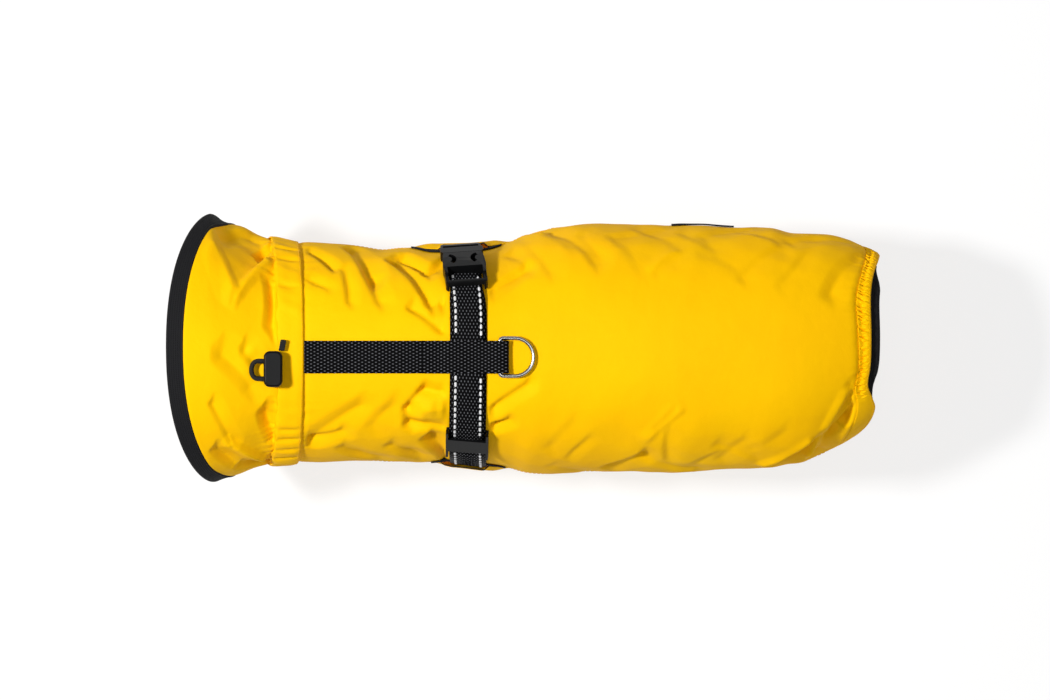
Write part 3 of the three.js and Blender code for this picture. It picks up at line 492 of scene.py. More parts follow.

# Braided elastic cord: black, small crossing strands 1.2 mm apart, each strand's crest painted lighter as a painted
# highlight
braidedCord, tree = startMaterial("braidedCord", "cord", Roughness=0.6, Specular_IOR_Level=0.3)
along, around = clothMap(tree)
braid = maths(tree, "MULTIPLY", threadWave(tree, maths(tree, "ADD", along, around), 1.2),
              threadWave(tree, maths(tree, "SUBTRACT", along, around), 1.2))
# painted highlight: lighter grey where the braid's relief stands highest
paint(tree, between(tree, braid, -0.2, 1.0), "#0A0A0B", "#2B2B2E")
emboss(tree, braid, 0.6, 0.2)


def makeThread(name, slotName, low, high, roughness=0.6):
    # Sewing thread: two tones mixed by a noise about 0.8 mm across
    material, tree = startMaterial(name, slotName, Roughness=roughness, Specular_IOR_Level=0.25)
    paint(tree, noise(tree, 1250.0), low, high)
    return material


yellowThread = makeThread("yellowThread", "cloth", "#E8AA00", "#F8B800")
blackThread = makeThread("blackThread", "ribbed_edging", "#0F0F10", "#2A2A2D")
reflectiveThread = makeThread("reflectiveThread", "webbing", "#C4C4C6", "#F2F2F2", 0.35)
print("materials ready")


# Grids, meshes and cloth shells

def steps(count):
    return np.linspace(0, 1, count + 1)


def spread(low, high):
    # Columns between two angles that may themselves follow x
    return lambda x, part: low(x) + (high(x) - low(x)) * part


def level(low, high):
    # Columns between two angles that stay the same along the coat
    return spread(lambda x: low + 0.0, lambda x: high + 0.0)


def clothGrid(front, rear, angleAt, along, around):
    # Rows run from the front edge to the rear edge; the angle follows x, and x the angle, so both are settled in turn
    part, share = along[:, None], around[None, :]
    x = front(0.0) + (rear(0.0) - front(0.0)) * part + 0 * share
    for _ in range(8):
        angle = angleAt(x, share)
        x = front(angle) + (rear(angle) - front(angle)) * part + 0 * share
    return x, angleAt(x, share) + 0 * x


def gridQuads(rows, columns, isRing=False, isLoop=False):
    # Quads of a grid, facing out, and the same corners numbered on a grid that isn't closed, for the cloth's own map
    spans = columns if isRing else columns - 1
    i, j = (a.ravel() for a in np.meshgrid(np.arange(rows if isLoop else rows - 1), np.arange(spans), indexing="ij"))
    ahead, beside, wide = (i + 1) % rows, (j + 1) % columns, spans + 1
    quads = np.stack([i * columns + j, ahead * columns + j, ahead * columns + beside, i * columns + beside], axis=1)
    corners = np.stack([i * wide + j, (i + 1) * wide + j, (i + 1) * wide + j + 1, i * wide + j + 1], axis=1)
    return quads, corners


def addPiece(name, mesh, material, node, body):
    mesh.materials.append(material)
    piece = bpy.data.objects.new(name, mesh)
    bpy.context.scene.collection.objects.link(piece)
    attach(piece, body)
    if node:
        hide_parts(node)
    return piece


def addMesh(name, node, points, faces, material, cornerMap=None, body="coat"):
    mesh = bpy.data.meshes.new(name)
    mesh.from_pydata((np.asarray(points).reshape(-1, 3) * mm).tolist(), [], faces)
    mesh.polygons.foreach_set("use_smooth", np.full(len(mesh.polygons), True))
    if cornerMap is not None:
        mesh.uv_layers.new(name="UVMap").data.foreach_set("uv", (np.asarray(cornerMap, float) * mm).ravel())
    mesh.update()
    return addPiece(name, mesh, material, node, body)


def addTube(name, node, points, flatMap, material, reversedCap):
    # A tube with both ends closed; its map has one column more than the tube, which closes it
    rows, columns = points.shape[:2]
    quads, corners = gridQuads(rows, columns, True)
    last = (rows - 1) * columns
    caps = [list(range(columns)), list(range(last, last + columns))]
    caps[reversedCap].reverse()
    cornerMap = np.concatenate([flatMap.reshape(-1, 2)[corners].reshape(-1, 2), np.zeros((2 * columns, 2))])
    return addMesh(name, node, points, quads.tolist() + caps, material, cornerMap)


def giveWall(piece, thick):
    # The cloth's thickness, put on inside its outer face
    wall = piece.modifiers.new("wall", "SOLIDIFY")
    wall.thickness = thick * mm
    wall.offset = -1


def clothShell(name, node, x, angle, out, isRing=False, thick=form["wall"], material=coatedPolyester):
    # A thin shell whose outer face is the grid; its map is the unrolled cloth, in millimetres
    points = formPoint(x, angle, out)
    quads, corners = gridQuads(*x.shape, isRing)
    if isRing:
        x = np.concatenate([x, x[:, :1]], axis=1)
        angle = np.concatenate([angle, angle[:, :1] + 360], axis=1)
    flatMap = np.stack([x, angle * perDegree], axis=-1).reshape(-1, 2)
    piece = addMesh(name, node, points, quads.tolist(), material, flatMap[corners].reshape(-1, 2))
    giveWall(piece, thick)
    return piece, points


def travel(path):
    # Distance along a path, from its first point to each of the others
    return np.concatenate([[0], np.cumsum(np.linalg.norm(np.diff(path, axis=0), axis=1))])


def columnsAt(at, distance, values):
    # A table's columns read at other distances than its own
    return np.stack([np.interp(at, distance, values[:, k]) for k in range(values.shape[1])], axis=1)


def unit(vectors):
    # Each row divided by its own length
    return vectors / np.linalg.norm(vectors, axis=1, keepdims=True)


# Cord: the drawcord's loop, a free bight between the two holes of the cord lock

lock = {"x": -145.2, "y": -9.0, "along": 14.0, "low": 1.6, "high": 12.4}
lock["base"] = float(formPoint(lock["x"], -6)[2])
loopCord = {"diameter": 3.6, "z": lock["base"] + lock["low"] + 4.1, "near": -3.0, "far": -16.2, "bulge": 4.2,
            "flat": 0.72, "into": 3.0, "sides": 14, "rows": 90}


def tubeAlong(path, along, radius, sides):
    # Circles of one radius round the points of a level path, each across the path's own direction
    along = unit(along)
    sideways = unit(np.cross(along, [0.0, 0.0, 1.0]))
    lifted = np.cross(sideways, along)
    turn = 2 * math.pi * np.arange(sides) / sides
    return (path[:, None] + radius * np.cos(turn)[None, :, None] * sideways[:, None]
            + radius * np.sin(turn)[None, :, None] * lifted[:, None])


def smoothPath(places, count):
    # A smooth curve through places, by distance along them, count points evenly spaced
    distance = travel(places)
    dense = np.linspace(0, distance[-1], 12 * count)
    curve = np.stack([throughRows(distance, places[:, k], dense) for k in range(3)], axis=1)
    travelled = travel(curve)
    return columnsAt(np.linspace(0, travelled[-1], count), travelled, curve), travelled[-1]


def makeCordLoop():
    # Half an oval between two short straight ends, smoothed, with round cord carried along it
    face = lock["x"] - lock["along"] / 2 - form["seamGap"]
    middle, radius = (loopCord["near"] + loopCord["far"]) / 2, (loopCord["near"] - loopCord["far"]) / 2
    turn = math.pi * (0.5 + np.linspace(0, 1, 9))
    bightX = face - loopCord["bulge"] + np.cos(turn) * radius * loopCord["flat"]
    bightY = middle + np.sin(turn) * radius
    inside, beside = face + loopCord["into"], face - loopCord["bulge"] * 0.6
    x = np.concatenate([[inside, beside], bightX, [beside, inside]])
    y = np.concatenate([[loopCord["near"]] * 2, bightY, [loopCord["far"]] * 2])
    path, length = smoothPath(np.stack([x, y, np.full(len(x), loopCord["z"])], axis=1), loopCord["rows"])
    tube = tubeAlong(path, np.gradient(path, axis=0), loopCord["diameter"] / 2, loopCord["sides"])
    flatMap = np.stack(np.meshgrid(np.linspace(0, length, len(path)),
                                   np.linspace(0, math.pi * loopCord["diameter"], loopCord["sides"] + 1),
                                   indexing="ij"), axis=-1)
    piece = addTube("drawcord_loop", "cord_loop", tube, flatMap, braidedCord, 0)
    print(f"drawcord loop: {length:.1f} mm")


makeCordLoop()


# Stitches: small rounded lozenges along a path

def stitchRow(name, centres, alongs, outs, size, material):
    # Each stitch is six-sided, full in its middle half and drawn in at both ends
    length, width, high = size
    alongs = unit(alongs)
    sideways = unit(np.cross(outs, alongs))
    turn = 2 * math.pi * np.arange(6) / 6
    rings = np.array([[-0.5, 0.35], [-0.32, 1.0], [0.32, 1.0], [0.5, 0.35]])
    place = (centres[:, None, None]
             + rings[None, :, None, :1] * length * alongs[:, None, None]
             + 0.5 * width * rings[None, :, None, 1:] * np.cos(turn)[None, None, :, None] * sideways[:, None, None]
             + 0.5 * high * rings[None, :, None, 1:] * np.sin(turn)[None, None, :, None] * outs[:, None, None])
    quads, _ = gridQuads(4, 6, True)
    first = 24 * np.arange(len(centres))
    faces = (quads[None, :, ::-1] + first[:, None, None]).reshape(-1, 4).tolist()
    for k in first.tolist():
        faces += [list(range(k, k + 6)), list(range(k + 23, k + 17, -1))]
    return addMesh(name, None, place, faces, material)


def alongCloth(x, angle, out, pitch, keep=None):
    # Evenly spaced centres along a line on the cloth, with the line's direction and the way out at each
    path, above = formPoint(x, angle, out), formPoint(x, angle, np.asarray(out) + 1.0)
    distance = travel(path)
    at = np.arange(pitch / 2, distance[-1], pitch)
    if keep is not None:
        at = at[keep(np.interp(at, distance, angle))]
    return (columnsAt(at, distance, path), columnsAt(at, distance, np.gradient(path, axis=0)),
            unit(columnsAt(at, distance, above - path)))


def alongPiece(x, angle, outOf, lift, pitch):
    # The same on the face of a piece, whose relief outOf gives
    return alongCloth(x, angle, outOf(x[None], angle[None])[0] + lift, pitch)


def joinRows(rows):
    # Several rows of stitches as one
    return [np.concatenate(part) for part in zip(*rows)]


def ribsAcross(across, sizes):
    # Ribs along an edging: a cosine of the distance across it
    return sizes["ribRelief"] * np.cos(2 * math.pi * across / sizes["ribPitch"])


# Collar, its ribbed edging and the casing for the drawcord

collar = {"rows": 64, "columns": 480, "casingRows": 22, "ribPitch": 1.7, "ribRelief": 0.16, "bandRows": 30,
          "bandThick": 1.9, "bandOut": 0.25, "stitchPitch": 3.0, "stitch": (2.2, 0.55, 0.45), "bandPitch": 2.6,
          "bandStitch": (1.7, 0.5, 0.4)}
ringParts = np.arange(collar["columns"]) / collar["columns"]

# A facet of the collar beside the casing: it falls away from its front edge, and its lower edge is sharp
facet = {"front": (-185, 49), "corner": (-171, 25), "rear": (-145.5, 60), "slope": 0.38, "deepest": 9.0}


def facetOut(x, angle):
    # A fall that grows from the front line and levels off (a tanh), begun by an S behind the lower edge
    front, corner, rear = (np.array(facet[name]) * [1.0, perDegree] for name in ("front", "corner", "rear"))
    place = np.stack(np.broadcast_arrays(x, wrapAngle(angle) * perDegree), axis=-1)

    def past(start, end):
        # Distance to the left of the line from start to end
        along = (end - start) / np.linalg.norm(end - start)
        return (place - start) @ np.array([-along[1], along[0]])
    fall = facet["deepest"] * np.tanh(facet["slope"] * np.maximum(past(front, corner), 0) / facet["deepest"])
    fall = fall * smoothStep(0, 5.5, past(corner, rear)) * smoothStep(0, 9, channelFront(angle) - x)
    return -fall * (1 - smoothStep(66, 86, wrapAngle(angle)))


def collarOut(x, angle):
    # Creases, puckers, facet and swell, less the cord's pull, which fades away from the casing; both ends run on
    # under edging and casing
    free = foldsOut(x, angle) + channelPuckers(x, angle) + facetOut(x, angle)
    free = free + 1.3 * softSwell(x, angle) * smoothStep(0, 12, x - bandEdge(angle))
    pulledIn = 0.5 + 0.5 * smoothStep(20, 40, np.abs(wrapAngle(angle)))
    free = free - pulledIn * np.exp(-np.maximum(channelFront(angle) - x, 0) / 4.0)
    hidden = np.maximum(underEdge(x - channelFront(angle)), underEdge(bandEdge(angle) - x))
    return free * (1 - hidden) - 0.5 * hidden


def casingFront(angle):
    # The casing's front edge wanders a little where the cord draws it in
    turned = wrapAngle(angle)
    return channelFront(turned) + 0.55 * np.sin(turned * 0.23 + 1) + 0.4 * np.sin(turned * 0.61) - 0.3


dents = {"angle": [65.4, 54.5, 34.8, -42.0, -49.8, -58.5, -69.0, 118.0, -122.0],
         "deep": [1.4, 1.0, 0.7, 0.9, 1.2, 1.0, 1.3, 1.0, 1.0], "width": 1.7, "gain": 1.5}
casingPuff = {"lift": 1.5, "rise": 1.4, "tucked": 1.0}


def casingOut(x, angle):
    # The casing puffs out between its two seams and is dented unevenly where the cord draws it in
    part = np.clip((x - channelFront(angle)) / (channelRear(angle) - channelFront(angle)), 0, 1)
    turned = wrapAngle(angle)
    places, deep = (np.array(dents[name])[:, None, None] for name in ("angle", "deep"))
    dented = dents["gain"] * (deep * np.exp(-((places - turned) / dents["width"]) ** 2)).sum(0)
    lumps = 0.4 * np.sin(turned * 0.31 + 2 * part) + 0.15 * np.sin(turned * 0.83 + 4 * part)
    puff = 1 - np.abs(2 * part - 1) ** 3
    raised = (casingPuff["rise"] + (lumps - dented) * smoothStep(12, 20, np.abs(turned))) * puff
    return casingPuff["lift"] - casingPuff["tucked"] * (part < 0.02) + raised


def makeCollar():
    # Three rings, each a grid between two edges that close round the neck
    def ringShell(name, node, front, rear, rows, outOf, **settings):
        x, angle = clothGrid(front, rear, level(-180, 180), steps(rows), ringParts)
        return clothShell(name, node, x, angle, outOf(x, angle), True, **settings)

    def bandOut(x, angle):
        across = x - rimEdge(angle)
        rolled = np.minimum(smoothStep(0, 1.1, across), smoothStep(0, 0.7, form["bandWidth"] - across))
        return collar["bandOut"] + ribsAcross(across, collar) - 0.7 * (1 - rolled)
    cloth, clothPoints = ringShell("collar_cloth", "collar", lambda a: bandEdge(a) - form["tuck"],
                                   lambda a: channelFront(a) + form["tuck"], collar["rows"], collarOut)
    band, _ = ringShell("collar_edging", "collar_band", rimEdge, bandEdge, collar["bandRows"], bandOut,
                        thick=collar["bandThick"], material=ribbedElastic)
    casing, casingPoints = ringShell("drawcord_casing", "drawcord_channel", casingFront, channelRear,
                                     collar["casingRows"], casingOut)
    turned = np.linspace(-180, 180, 900)
    dark = stitchRow("collar_edging_stitches", *alongCloth(bandEdge(turned) - 1.2, turned, 0.55, collar["bandPitch"]),
                     collar["bandStitch"], blackThread)
    light = stitchRow("casing_stitches", *alongPiece(channelRear(turned) - 1.3, turned, casingOut, 0.05,
                                                     collar["stitchPitch"]), collar["stitch"], yellowThread)
    print("collar made")


# Back and belly, joined by the side seams

body = {"rows": 226, "columns": 146, "bellyRows": 170, "bellyColumns": 132, "stitchPitch": 3.4,
        "stitch": (2.4, 0.55, 0.45), "seamStitches": ((-118, -47), (31, 284)), "besideSeam": 1.6}
halfGap = form["seamGap"] / 2 / perDegree


def panelFront(angle):
    return channelRear(angle) - form["tuck"]


def panelRear(angle):
    return hemStart(angle) + form["tuck"]


def seamTuck(x):
    # How many degrees the belly runs on under the back at the side seams, and none along the open slits
    shut = 1 - smoothStep(slit["from"] - 8, slit["from"], x) * (1 - smoothStep(slit["to"] + 2, slit["to"] + 9, x))
    return form["tuck"] / perDegree * shut - halfGap * (1 - shut)


def makeBack():
    # A grid from casing to hem and from seam to seam, stitched beside the closed stretches of the seams
    across = spread(lambda x: seamRight(x) + halfGap, lambda x: seamLeft(x) - halfGap)
    x, angle = clothGrid(panelFront, panelRear, across, steps(body["rows"]), steps(body["columns"]))
    cloth, points = clothShell("back_cloth", "back_panel", x, angle, backOut(x, angle))
    rows = []
    for seam, inward in ((seamLeft, -1), (seamRight, 1)):
        for stretch in body["seamStitches"]:
            at = np.linspace(*stretch, 400)
            rows.append(alongPiece(at, seam(at) + inward * body["besideSeam"], backOut, 0.1, body["stitchPitch"]))
    stitches = stitchRow("side_seam_stitches", *joinRows(rows), body["stitch"], yellowThread)
    print("back made")


def bellyAngle(x, y):
    # Angle of the place under the belly that has this x and y
    left, right = outlineAt(x, "left", "right")
    sine = signedPower((y - (left + right) / 2) / ((left - right) / 2), form["roundness"] / 2)
    return 180 - np.degrees(np.arcsin(np.clip(sine, -1, 1)))


def makeBelly():
    across = spread(lambda x: seamLeft(x) - seamTuck(x), lambda x: 360 + seamRight(x) + seamTuck(x))
    x, angle = clothGrid(panelFront, panelRear, across, steps(body["bellyRows"]), steps(body["bellyColumns"]))
    points = formPoint(x, angle, bellyOut(x, angle))
    # quads whose middle lies in a leg opening go; the places left on the rim move onto the opening's own oval
    quads, _ = gridQuads(*x.shape)
    flat = points.reshape(-1, 3)
    distance = np.where(flat[:, 2] < -110, legDistance(flat), 9.0)
    gone = distance[quads].mean(1) < 1
    rim = np.intersect1d(quads[gone], quads[~gone])
    centre = np.stack([np.full(len(rim), legHoles["x"]), np.sign(flat[rim, 1]) * legHoles["y"]], axis=1)
    onOval = centre + (flat[rim, :2] - centre) / distance[rim, None]
    x, angle = x.ravel(), angle.ravel()
    x[rim], angle[rim] = onOval[:, 0], bellyAngle(*onOval.T)
    kept = quads[~gone]
    used, renumbered = np.unique(kept, return_inverse=True)
    flatMap = np.stack([x, angle * perDegree], axis=1)
    cloth = addMesh("belly_cloth", "belly_panel", formPoint(x, angle, bellyOut(x[None], angle[None])[0])[used],
                    renumbered.reshape(-1, 4).tolist(), coatedPolyester, flatMap[kept].reshape(-1, 2))
    giveWall(cloth, form["wall"])

    turn = np.linspace(0, 2 * math.pi, 240)
    rows = []
    for side in (1, -1):
        ovalX = legHoles["x"] + (legHoles["along"] + legHoles["stitches"]) * np.cos(turn)
        ovalY = side * legHoles["y"] + (legHoles["across"] + legHoles["stitches"]) * np.sin(turn)
        rows.append(alongPiece(ovalX, bellyAngle(ovalX, ovalY), bellyOut, 0.1, body["stitchPitch"]))
    stitches = stitchRow("leg_opening_stitches", *joinRows(rows), body["stitch"], yellowThread)
    print("belly made")


# Hem: the gathered casing over its elastic, and the ribbed edging that shows past it

hemPiece = {"rows": 20, "from": -44, "to": 60, "inside": 4.0, "shows": 7.2, "bandThick": 1.3, "bandDown": 2.9,
            "bandEnd": 0.5, "ribPitch": 1.6, "ribRelief": 0.14, "stitchPitch": 2.6, "stitch": (1.8, 0.5, 0.4),
            "stitchAt": 0.9}


def hemOut(x, angle):
    # The first half of the casing is a groove full of short pleats, the second a tunnel that puffs over the elastic
    part = np.clip((x - hemStart(angle)) / (hemEnd(angle) - hemStart(angle)), 0, 1)
    turned = wrapAngle(angle)
    pleated = hemPleated(angle)
    reach = 0.5 + 0.09 * np.sin(turned * 1.7) + 0.07 * np.sin(turned * 3.1 + 1)
    groove = 1 - smoothStep(reach - 0.22, reach + 0.08, part)
    slant = angle + (3.4 + np.sin(turned * 0.13)) * (part - 0.3)
    wave = gatherWave(slant, gathers["pitch"])
    tunnel = 0.75 * np.sin(math.pi * np.clip((part - reach) / (1 - reach), 0, 1)) ** 0.6
    plain = 0.7 * np.sin(math.pi * part) ** 0.7 - 0.25
    falling = 1.0 + 0.7 * smoothStep(0, 0.9 * reach, part)
    return pleated * (groove * (wave - falling) + (1 - groove) * (tunnel + 0.22 * wave)) + (1 - pleated) * plain


def makeHem():
    # The casing's columns stand close where the hem is gathered, and wider round the rest
    fine = np.linspace(gathers["from"] - 6, gathers["to"] + 5, 820)
    rest = np.linspace(gathers["to"] + 5, gathers["from"] + 354, 190)[1:-1]
    angles = np.concatenate([fine, rest])
    x, angle = clothGrid(hemStart, hemEnd, lambda x, part: angles[None, :] + 0 * x, steps(hemPiece["rows"]),
                         np.arange(len(angles)) / len(angles))
    casing, points = clothShell("hem_casing_cloth", "hem_casing", x, angle, hemOut(x, angle), True)

    def bandRear(angle):
        started = smoothStep(hemPiece["from"], hemPiece["from"] + 22, angle)
        showing = hemPiece["shows"] * started * (1 - smoothStep(hemPiece["to"] - 28, hemPiece["to"], angle))
        return hemEnd(angle) + showing - hemPiece["bandEnd"]
    x, angle = clothGrid(lambda a: hemEnd(a) - hemPiece["inside"], bandRear, level(hemPiece["from"], hemPiece["to"]),
                         steps(26), steps(150))
    across = x - hemEnd(angle)
    rolled = smoothStep(0, 1.0, bandRear(angle) - x)
    ripple = 0.35 * np.sin(angle * 0.8) * smoothStep(0, 6, across)
    band, _ = clothShell("hem_edging", "hem_band", x, angle,
                         ribsAcross(across, hemPiece) + ripple - hemPiece["bandDown"] - 0.5 * (1 - rolled),
                         thick=hemPiece["bandThick"], material=ribbedElastic)

    turned = np.linspace(-178, 178, 1600)
    at = hemStart(turned) + hemPiece["stitchAt"] * (hemEnd(turned) - hemStart(turned))
    stitches = stitchRow("hem_stitches", *alongPiece(at, turned, hemOut, 0.05, hemPiece["stitchPitch"]),
                         hemPiece["stitch"], yellowThread)
    print("hem made")


# Black edging: both lips of the two slits, and a short trim on the buckle side's flank

def rolledStrip(name, node, span, around, rows, outOf, face, thick):
    # A narrow strip whose two long edges roll down to the cloth under it
    x, angle = clothGrid(lambda a: span[0] + 0.0, lambda a: span[1] + 0.0, around, steps(rows), steps(8))
    crown = thick * np.sqrt(np.maximum(1 - 0.92 * np.linspace(-1, 1, x.shape[1])[None, :] ** 4, 0))
    clothShell(name, node, x, angle, outOf(x, angle) + face + crown, thick=thick * 0.35, material=ribbedElastic)


def makeEdgings():
    wide = slit["edging"] / perDegree
    sides = (("left", seamLeft, 1, (slit["from"] + 3, slit["to"] - 1)),
             ("right", seamRight, -1, (slit["from"] + slit["rightLater"] + 3, slit["to"] + 2)))
    for side, seam, away, span in sides:
        # the back's lip is bound on its face; the belly's binding is turned in, and only its fold shows
        for lip, far, outOf, face in (("back", -wide, backOut, slit["lift"]), ("belly", wide * 0.4, bellyOut, -1.1)):
            low, high = sorted((away * -0.5, away * far))
            rolledStrip(f"slit_binding_{side}_{lip}", f"slit_edging_{side}_{lip}", span,
                        spread(lambda x: seam(x) + low, lambda x: seam(x) + high), 90, outOf, face, slit["thick"])
    trim = {"span": (153, 200), "angle": 87, "half": 2, "thick": 1.1}
    rolledStrip("flank_binding", "flank_edging", trim["span"],
                level(trim["angle"] - trim["half"], trim["angle"] + trim["half"]), 70, backOut, form["seamGap"],
                trim["thick"])
    print("bindings made")


makeCollar()
makeBack()
makeBelly()
makeHem()
makeEdgings()


# Webbing: a flat strap with rounded edges carried along its path, woven in floats that stand out of its face

def strapProfile(half, fine, coarse):
    # Places round the strap, as (across, face): 1 on the upper face, -1 on the lower one, and both edges rounded
    top = np.linspace(-half + 0.5, half - 0.5, fine)
    low = np.linspace(half - 0.5, -half + 0.5, coarse)
    edge = np.array([[0.36, 0.7], [0.5, 0.0], [0.36, -0.7]])
    right, left = edge + [half - 0.5, 0], edge[::-1] * [-1, 1] - [half - 0.5, 0]
    return np.concatenate([np.stack([top, np.ones(fine)], axis=1), right,
                           np.stack([low, -np.ones(coarse)], axis=1), left])


def makeStrap(name, node, along, across, face, place):
    # along, across and face are grids; place gives the point for a distance across and a height over the middle line
    weave = np.cos(2 * math.pi * along / webbing["along"]) * np.cos(2 * math.pi * across / webbing["across"])
    woven = np.where(np.abs(face) == 1, webbing["relief"] * (weave - 1), 0.0)
    points = place(across, face * (webbing["thick"] / 2 + woven))
    flatMap = np.stack([np.concatenate([a, a[:, :1]], axis=1) for a in (along, across)], axis=-1)
    addTube(name, node, points, flatMap, nylonWebbing, 1)


# The girth strap's middle line and height at each angle, and its width
girth = {
    "angle": [-298.5, -294, -290.5, -287.5, -281.5, -275.5, -269, -262, -240, -180, -114, -107, -100, -94, -88, -83,
              -76, -66, -60, -50.5, -41, -35, -27, 0, 21, 28, 34.5, 44.5],
    "x": [-5.3, -5, -4.8, -4.6, -4.2, -4, -3.6, -3.2, -2, 0, 0.3, 0.3, 0.3, 0.3, 0.3, 0.2, 0,
          -0.2, -0.4, -0.4, -0.4, -0.2, 0, 0.5, 0.4, -0.2, -1.1, -2.3],
    "out": [4, 3.9, 2.4, 1.3, 0.6, -0.7, -2.4, -3.6, -3.6, -3.6, -3.6, -3.6, -2, -0.4, 0.8, 1.25, 2.1,
            3, 3.1, 1.25, 3.25, 2.4, 1.1, 1.1, 1.1, 2.4, 3.9, 4.3],
    "wide": [24.4] * 3 + [26.8] + [27.5] * 21 + [26.8] + [24.4] * 2,
}
girthStitch = {"pitch": 5.1, "size": (3.6, 1.9, 0.5), "away": 9.4, "lift": 0.80}


def girthAt(angle, column):
    return throughRows(girth["angle"], girth[column], angle)


def makeGirth(name, node, start, end, rows, fine, coarse):
    # The profile carried round the coat along the strap's middle line
    angle = np.linspace(start, end, rows)[:, None]
    middle = formPoint(girthAt(angle, "x"), angle, girthAt(angle, "out"))[:, 0]
    # the profile is given for a strap 1 mm wide with whole rounded edges, and stretched to the strap's width
    profile = strapProfile(0.5, fine, coarse)[::-1]
    across = np.clip(profile[:, 0] / 0.5, -1, 1)[None] * girthAt(angle, "wide") / 2

    def place(sideways, high):
        return formPoint(girthAt(angle, "x") + sideways, angle, girthAt(angle, "out") + high)
    makeStrap(name, node, travel(middle)[:, None] + 0 * across, across, profile[:, 1] + 0 * across, place)


def girthDashes():
    # Two rows of dashes, one near each edge of the strap
    def clear(at):
        # Clear of the spine strap and of the slider
        return (np.abs(at) > 9.0) & (np.abs(at + 50.5) > 6.0)
    rows = []
    for side in (1, -1):
        angle = np.concatenate([np.linspace(-84, -51.6, 300), np.linspace(-47.6, 42, 900)])
        rows.append(alongCloth(girthAt(angle, "x") + side * girthStitch["away"], angle,
                               girthAt(angle, "out") + girthStitch["lift"], girthStitch["pitch"], clear))
    stitchRow("girth_reflective_stitches", *joinRows(rows), girthStitch["size"], reflectiveThread)


# The spine strap's line from the casing to the ring, round its bar and back over the girth strap
spine = {
    "x": [-122.1, -70, -19.4, -17, -15.2, -13.5, 14.4, 16.2, 18, 20.4, 28, 29.9, 30.6, 29.9, 28, 21.5, 17, 14, -14,
          -17, -19.5, -22, -33.8],
    "out": [1.2, 1.2, 1.2, 1.6, 2.6, 3, 3, 2.6, 1.6, 1.2, 1.2, 2, 3.7, 5.4, 6.2, 6.2, 5.4, 4.85, 4.85, 4.2, 3.3,
            3.05, 3.05],
    "backRadius": 88.0, "step": 0.5, "columns": 48,
}


def makeSpineStrap():
    # The profile carried along the smoothed line; its edges follow the back's curve, and lie flat past the ring's bar
    places = np.stack([spine["x"], spine["out"]], axis=1)
    distance = travel(places)
    at = np.linspace(0, distance[-1], int(distance[-1] / spine["step"]))
    line = columnsAt(at, distance, places)
    smooth = np.exp(-0.5 * (np.arange(-6, 7) / 2.0) ** 2)
    padded = np.pad(line, ((6, 6), (0, 0)), mode="reflect", reflect_type="odd")
    line = np.stack([np.convolve(padded[:, k], smooth / smooth.sum(), "valid") for k in range(2)], axis=1)
    tangent = unit(np.gradient(line, axis=0))
    across, face = (column[None] + 0 * at[:, None]
                    for column in strapProfile(webbing["spineHalf"], spine["columns"], spine["columns"]).T)

    def place(sideways, high):
        x = line[:, :1] - high * tangent[:, 1:]
        out = line[:, 1:] + high * tangent[:, :1]
        angle = np.degrees(np.arcsin(np.abs(sideways / spine["backRadius"]) ** (form["roundness"] / 2)))
        flat = smoothStep(17, 22, x)
        z = formPoint(x, angle, out)[..., 2] * (1 - flat) + formPoint(x, 0.0, out)[..., 2] * flat
        return np.stack([x, sideways, z], axis=-1)
    makeStrap("spine_webbing", "spine_strap", at[:, None] + 0 * across, across, face, place)


makeGirth("girth_webbing_top", "girth_strap_top", -49, 43.5, 300, 54, 10)
makeGirth("girth_webbing_under", "girth_strap_under", -296.9, -49.4, 560, 46, 10)
girthDashes()
makeSpineStrap()
print("webbing made")


# Hardware: the moulded parts keep their solids' shapes, with moulded radii on their edges

moulded = {"weld": 0.005, "flat": 1.5, "sharp": 28, "segments": 2}
for name, node, radius in (("buckle_socket", "buckle_female", 0.45), ("buckle_plug", "buckle_male", 0.45),
                           ("strap_adjuster", "slider", 0.4), ("cord_stopper", "cord_lock", 0.6),
                           ("cord_end", "cord_tab", 0.35)):
    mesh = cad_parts[node].data.copy()
    mesh.name = name
    mesh.materials.clear()
    piece = addPiece(name, mesh, mouldedAcetal, node, "coat")
    weld = piece.modifiers.new("weld", "WELD")
    weld.merge_threshold = moulded["weld"] * mm
    flat = piece.modifiers.new("flat", "DECIMATE")
    flat.decimate_type = "DISSOLVE"
    flat.angle_limit = math.radians(moulded["flat"])
    edge = piece.modifiers.new("edge", "BEVEL")
    edge.width = radius * mm
    edge.segments = moulded["segments"]
    edge.angle_limit = math.radians(moulded["sharp"])

# ribs of the lock's button, across its top beside the cord
lockRibs = {"count": 8, "x": 4.6, "pitch": 2.6, "first": -3.1, "down": 0.25, "size": (3.4, 1.3, 1.5)}
ribs = np.array([[lock["x"] + lockRibs["x"], lock["y"] + lockRibs["pitch"] * (k + lockRibs["first"]),
                  lock["base"] + lock["high"] - lockRibs["down"]] for k in range(lockRibs["count"])])
stitchRow("cord_stopper_ribs", ribs, np.tile([1.0, 0.0, 0.0], (len(ribs), 1)),
          np.tile([0.0, 0.0, 1.0], (len(ribs), 1)), lockRibs["size"], mouldedAcetal)

ring = {"wire": 2.9, "halfWidth": 14.15, "reach": 11.0, "corner": 2.6, "x": 24.0, "height": 3.65, "sides": 20}


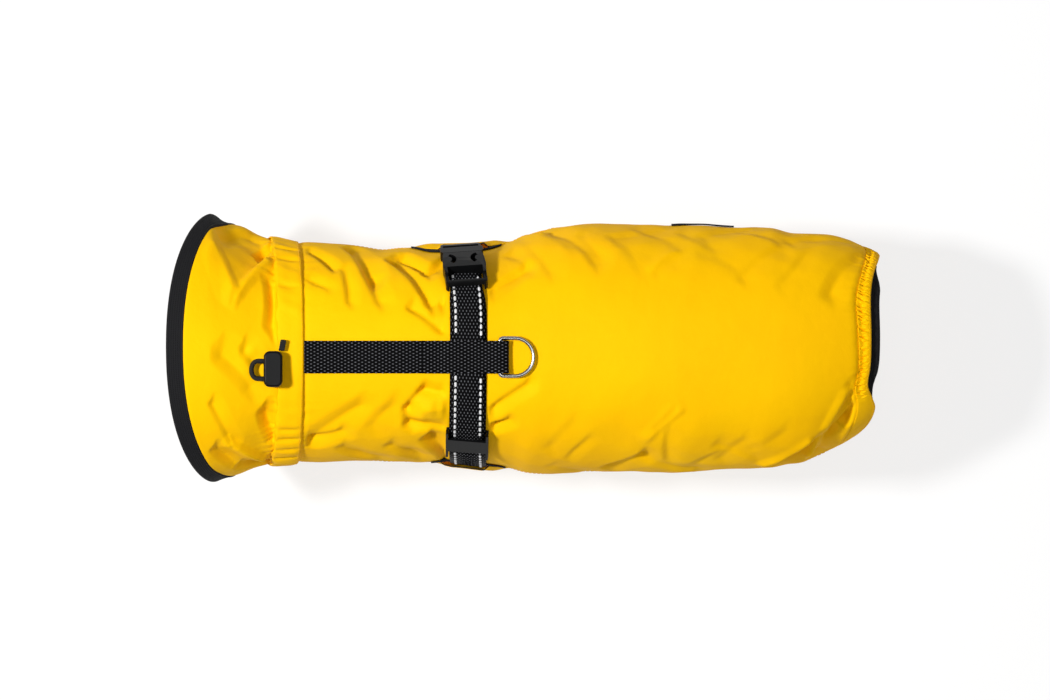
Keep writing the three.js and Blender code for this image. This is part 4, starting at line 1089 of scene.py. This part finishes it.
def makeRing():
    # A straight bar, two small corners and half a circle, closed, with round wire carried along them
    corner, start = ring["corner"], ring["corner"] - ring["halfWidth"]
    turnIn = np.linspace(math.pi, 1.5 * math.pi, 14)
    bow = np.linspace(-0.5 * math.pi, 0.5 * math.pi, 70)
    turnOut = np.linspace(0.5 * math.pi, math.pi, 14)
    bar = np.linspace(-start, start, 24)[1:-1]
    x = np.concatenate([corner + corner * np.cos(turnIn), ring["reach"] + ring["halfWidth"] * np.cos(bow),
                        corner + corner * np.cos(turnOut), 0 * bar])
    y = np.concatenate([start + corner * np.sin(turnIn), ring["halfWidth"] * np.sin(bow),
                        -start + corner * np.sin(turnOut), bar])
    height = float(formPoint(ring["x"], 0, ring["height"])[2])
    path = np.stack([x + ring["x"], y, np.full(len(x), height)], axis=1)
    wire = tubeAlong(path, np.roll(path, -1, axis=0) - np.roll(path, 1, axis=0), ring["wire"] / 2, ring["sides"])
    quads, _ = gridQuads(*wire.shape[:2], True, True)
    addMesh("lead_ring", "d_ring", wire, quads.tolist(), tumbledStainless, body="d_ring")


makeRing()
print("hardware made")


# Floor and soft studio light

floor = {"half": 3.0, "level": -0.203, "colour": "#7C7C7C", "glow": 0.78}
floorMesh = bpy.data.meshes.new("floor")
floorMesh.from_pydata([(i * floor["half"], j * floor["half"], floor["level"])
                       for i, j in ((-1, -1), (1, -1), (1, 1), (-1, 1))], [], [(0, 1, 2, 3)])
# lit from behind, as a light table is, so that shadows stay pale
paper, _ = startMaterial("mattPaper", None, Roughness=0.9, Base_Color=hexColour(floor["colour"]),
                         Emission_Color=hexColour("#FFFFFF"), Emission_Strength=floor["glow"])
floorMesh.materials.append(paper)
floorPiece = bpy.data.objects.new("floor", floorMesh)
bpy.context.scene.collection.objects.link(floorPiece)


def addLight(name, place, size, power):
    # A square soft light that faces the coat
    data = bpy.data.lights.new(name, "AREA")
    data.shape = "SQUARE"
    data.size = size
    data.energy = power
    light = bpy.data.objects.new(name, data)
    light.location = place
    light.rotation_euler = (Vector((0.04, 0, -0.05)) - Vector(place)).to_track_quat("-Z", "Y").to_euler()
    bpy.context.scene.collection.objects.link(light)


addLight("keySoftbox", (-1.4, 0.15, 2.1), 0.3, 73)
addLight("topSoftbox", (0.5, 0.0, 2.6), 1.2, 15)
addLight("fillSoftbox", (1.6, -0.9, 1.6), 1.4, 3)
world = bpy.data.worlds.new("studio")
world.use_nodes = True
background = world.node_tree.nodes["Background"].inputs
background["Color"].default_value = hexColour("#FFFFFF")
background["Strength"].default_value = 0.14
bpy.context.scene.world = world
print("studio ready")
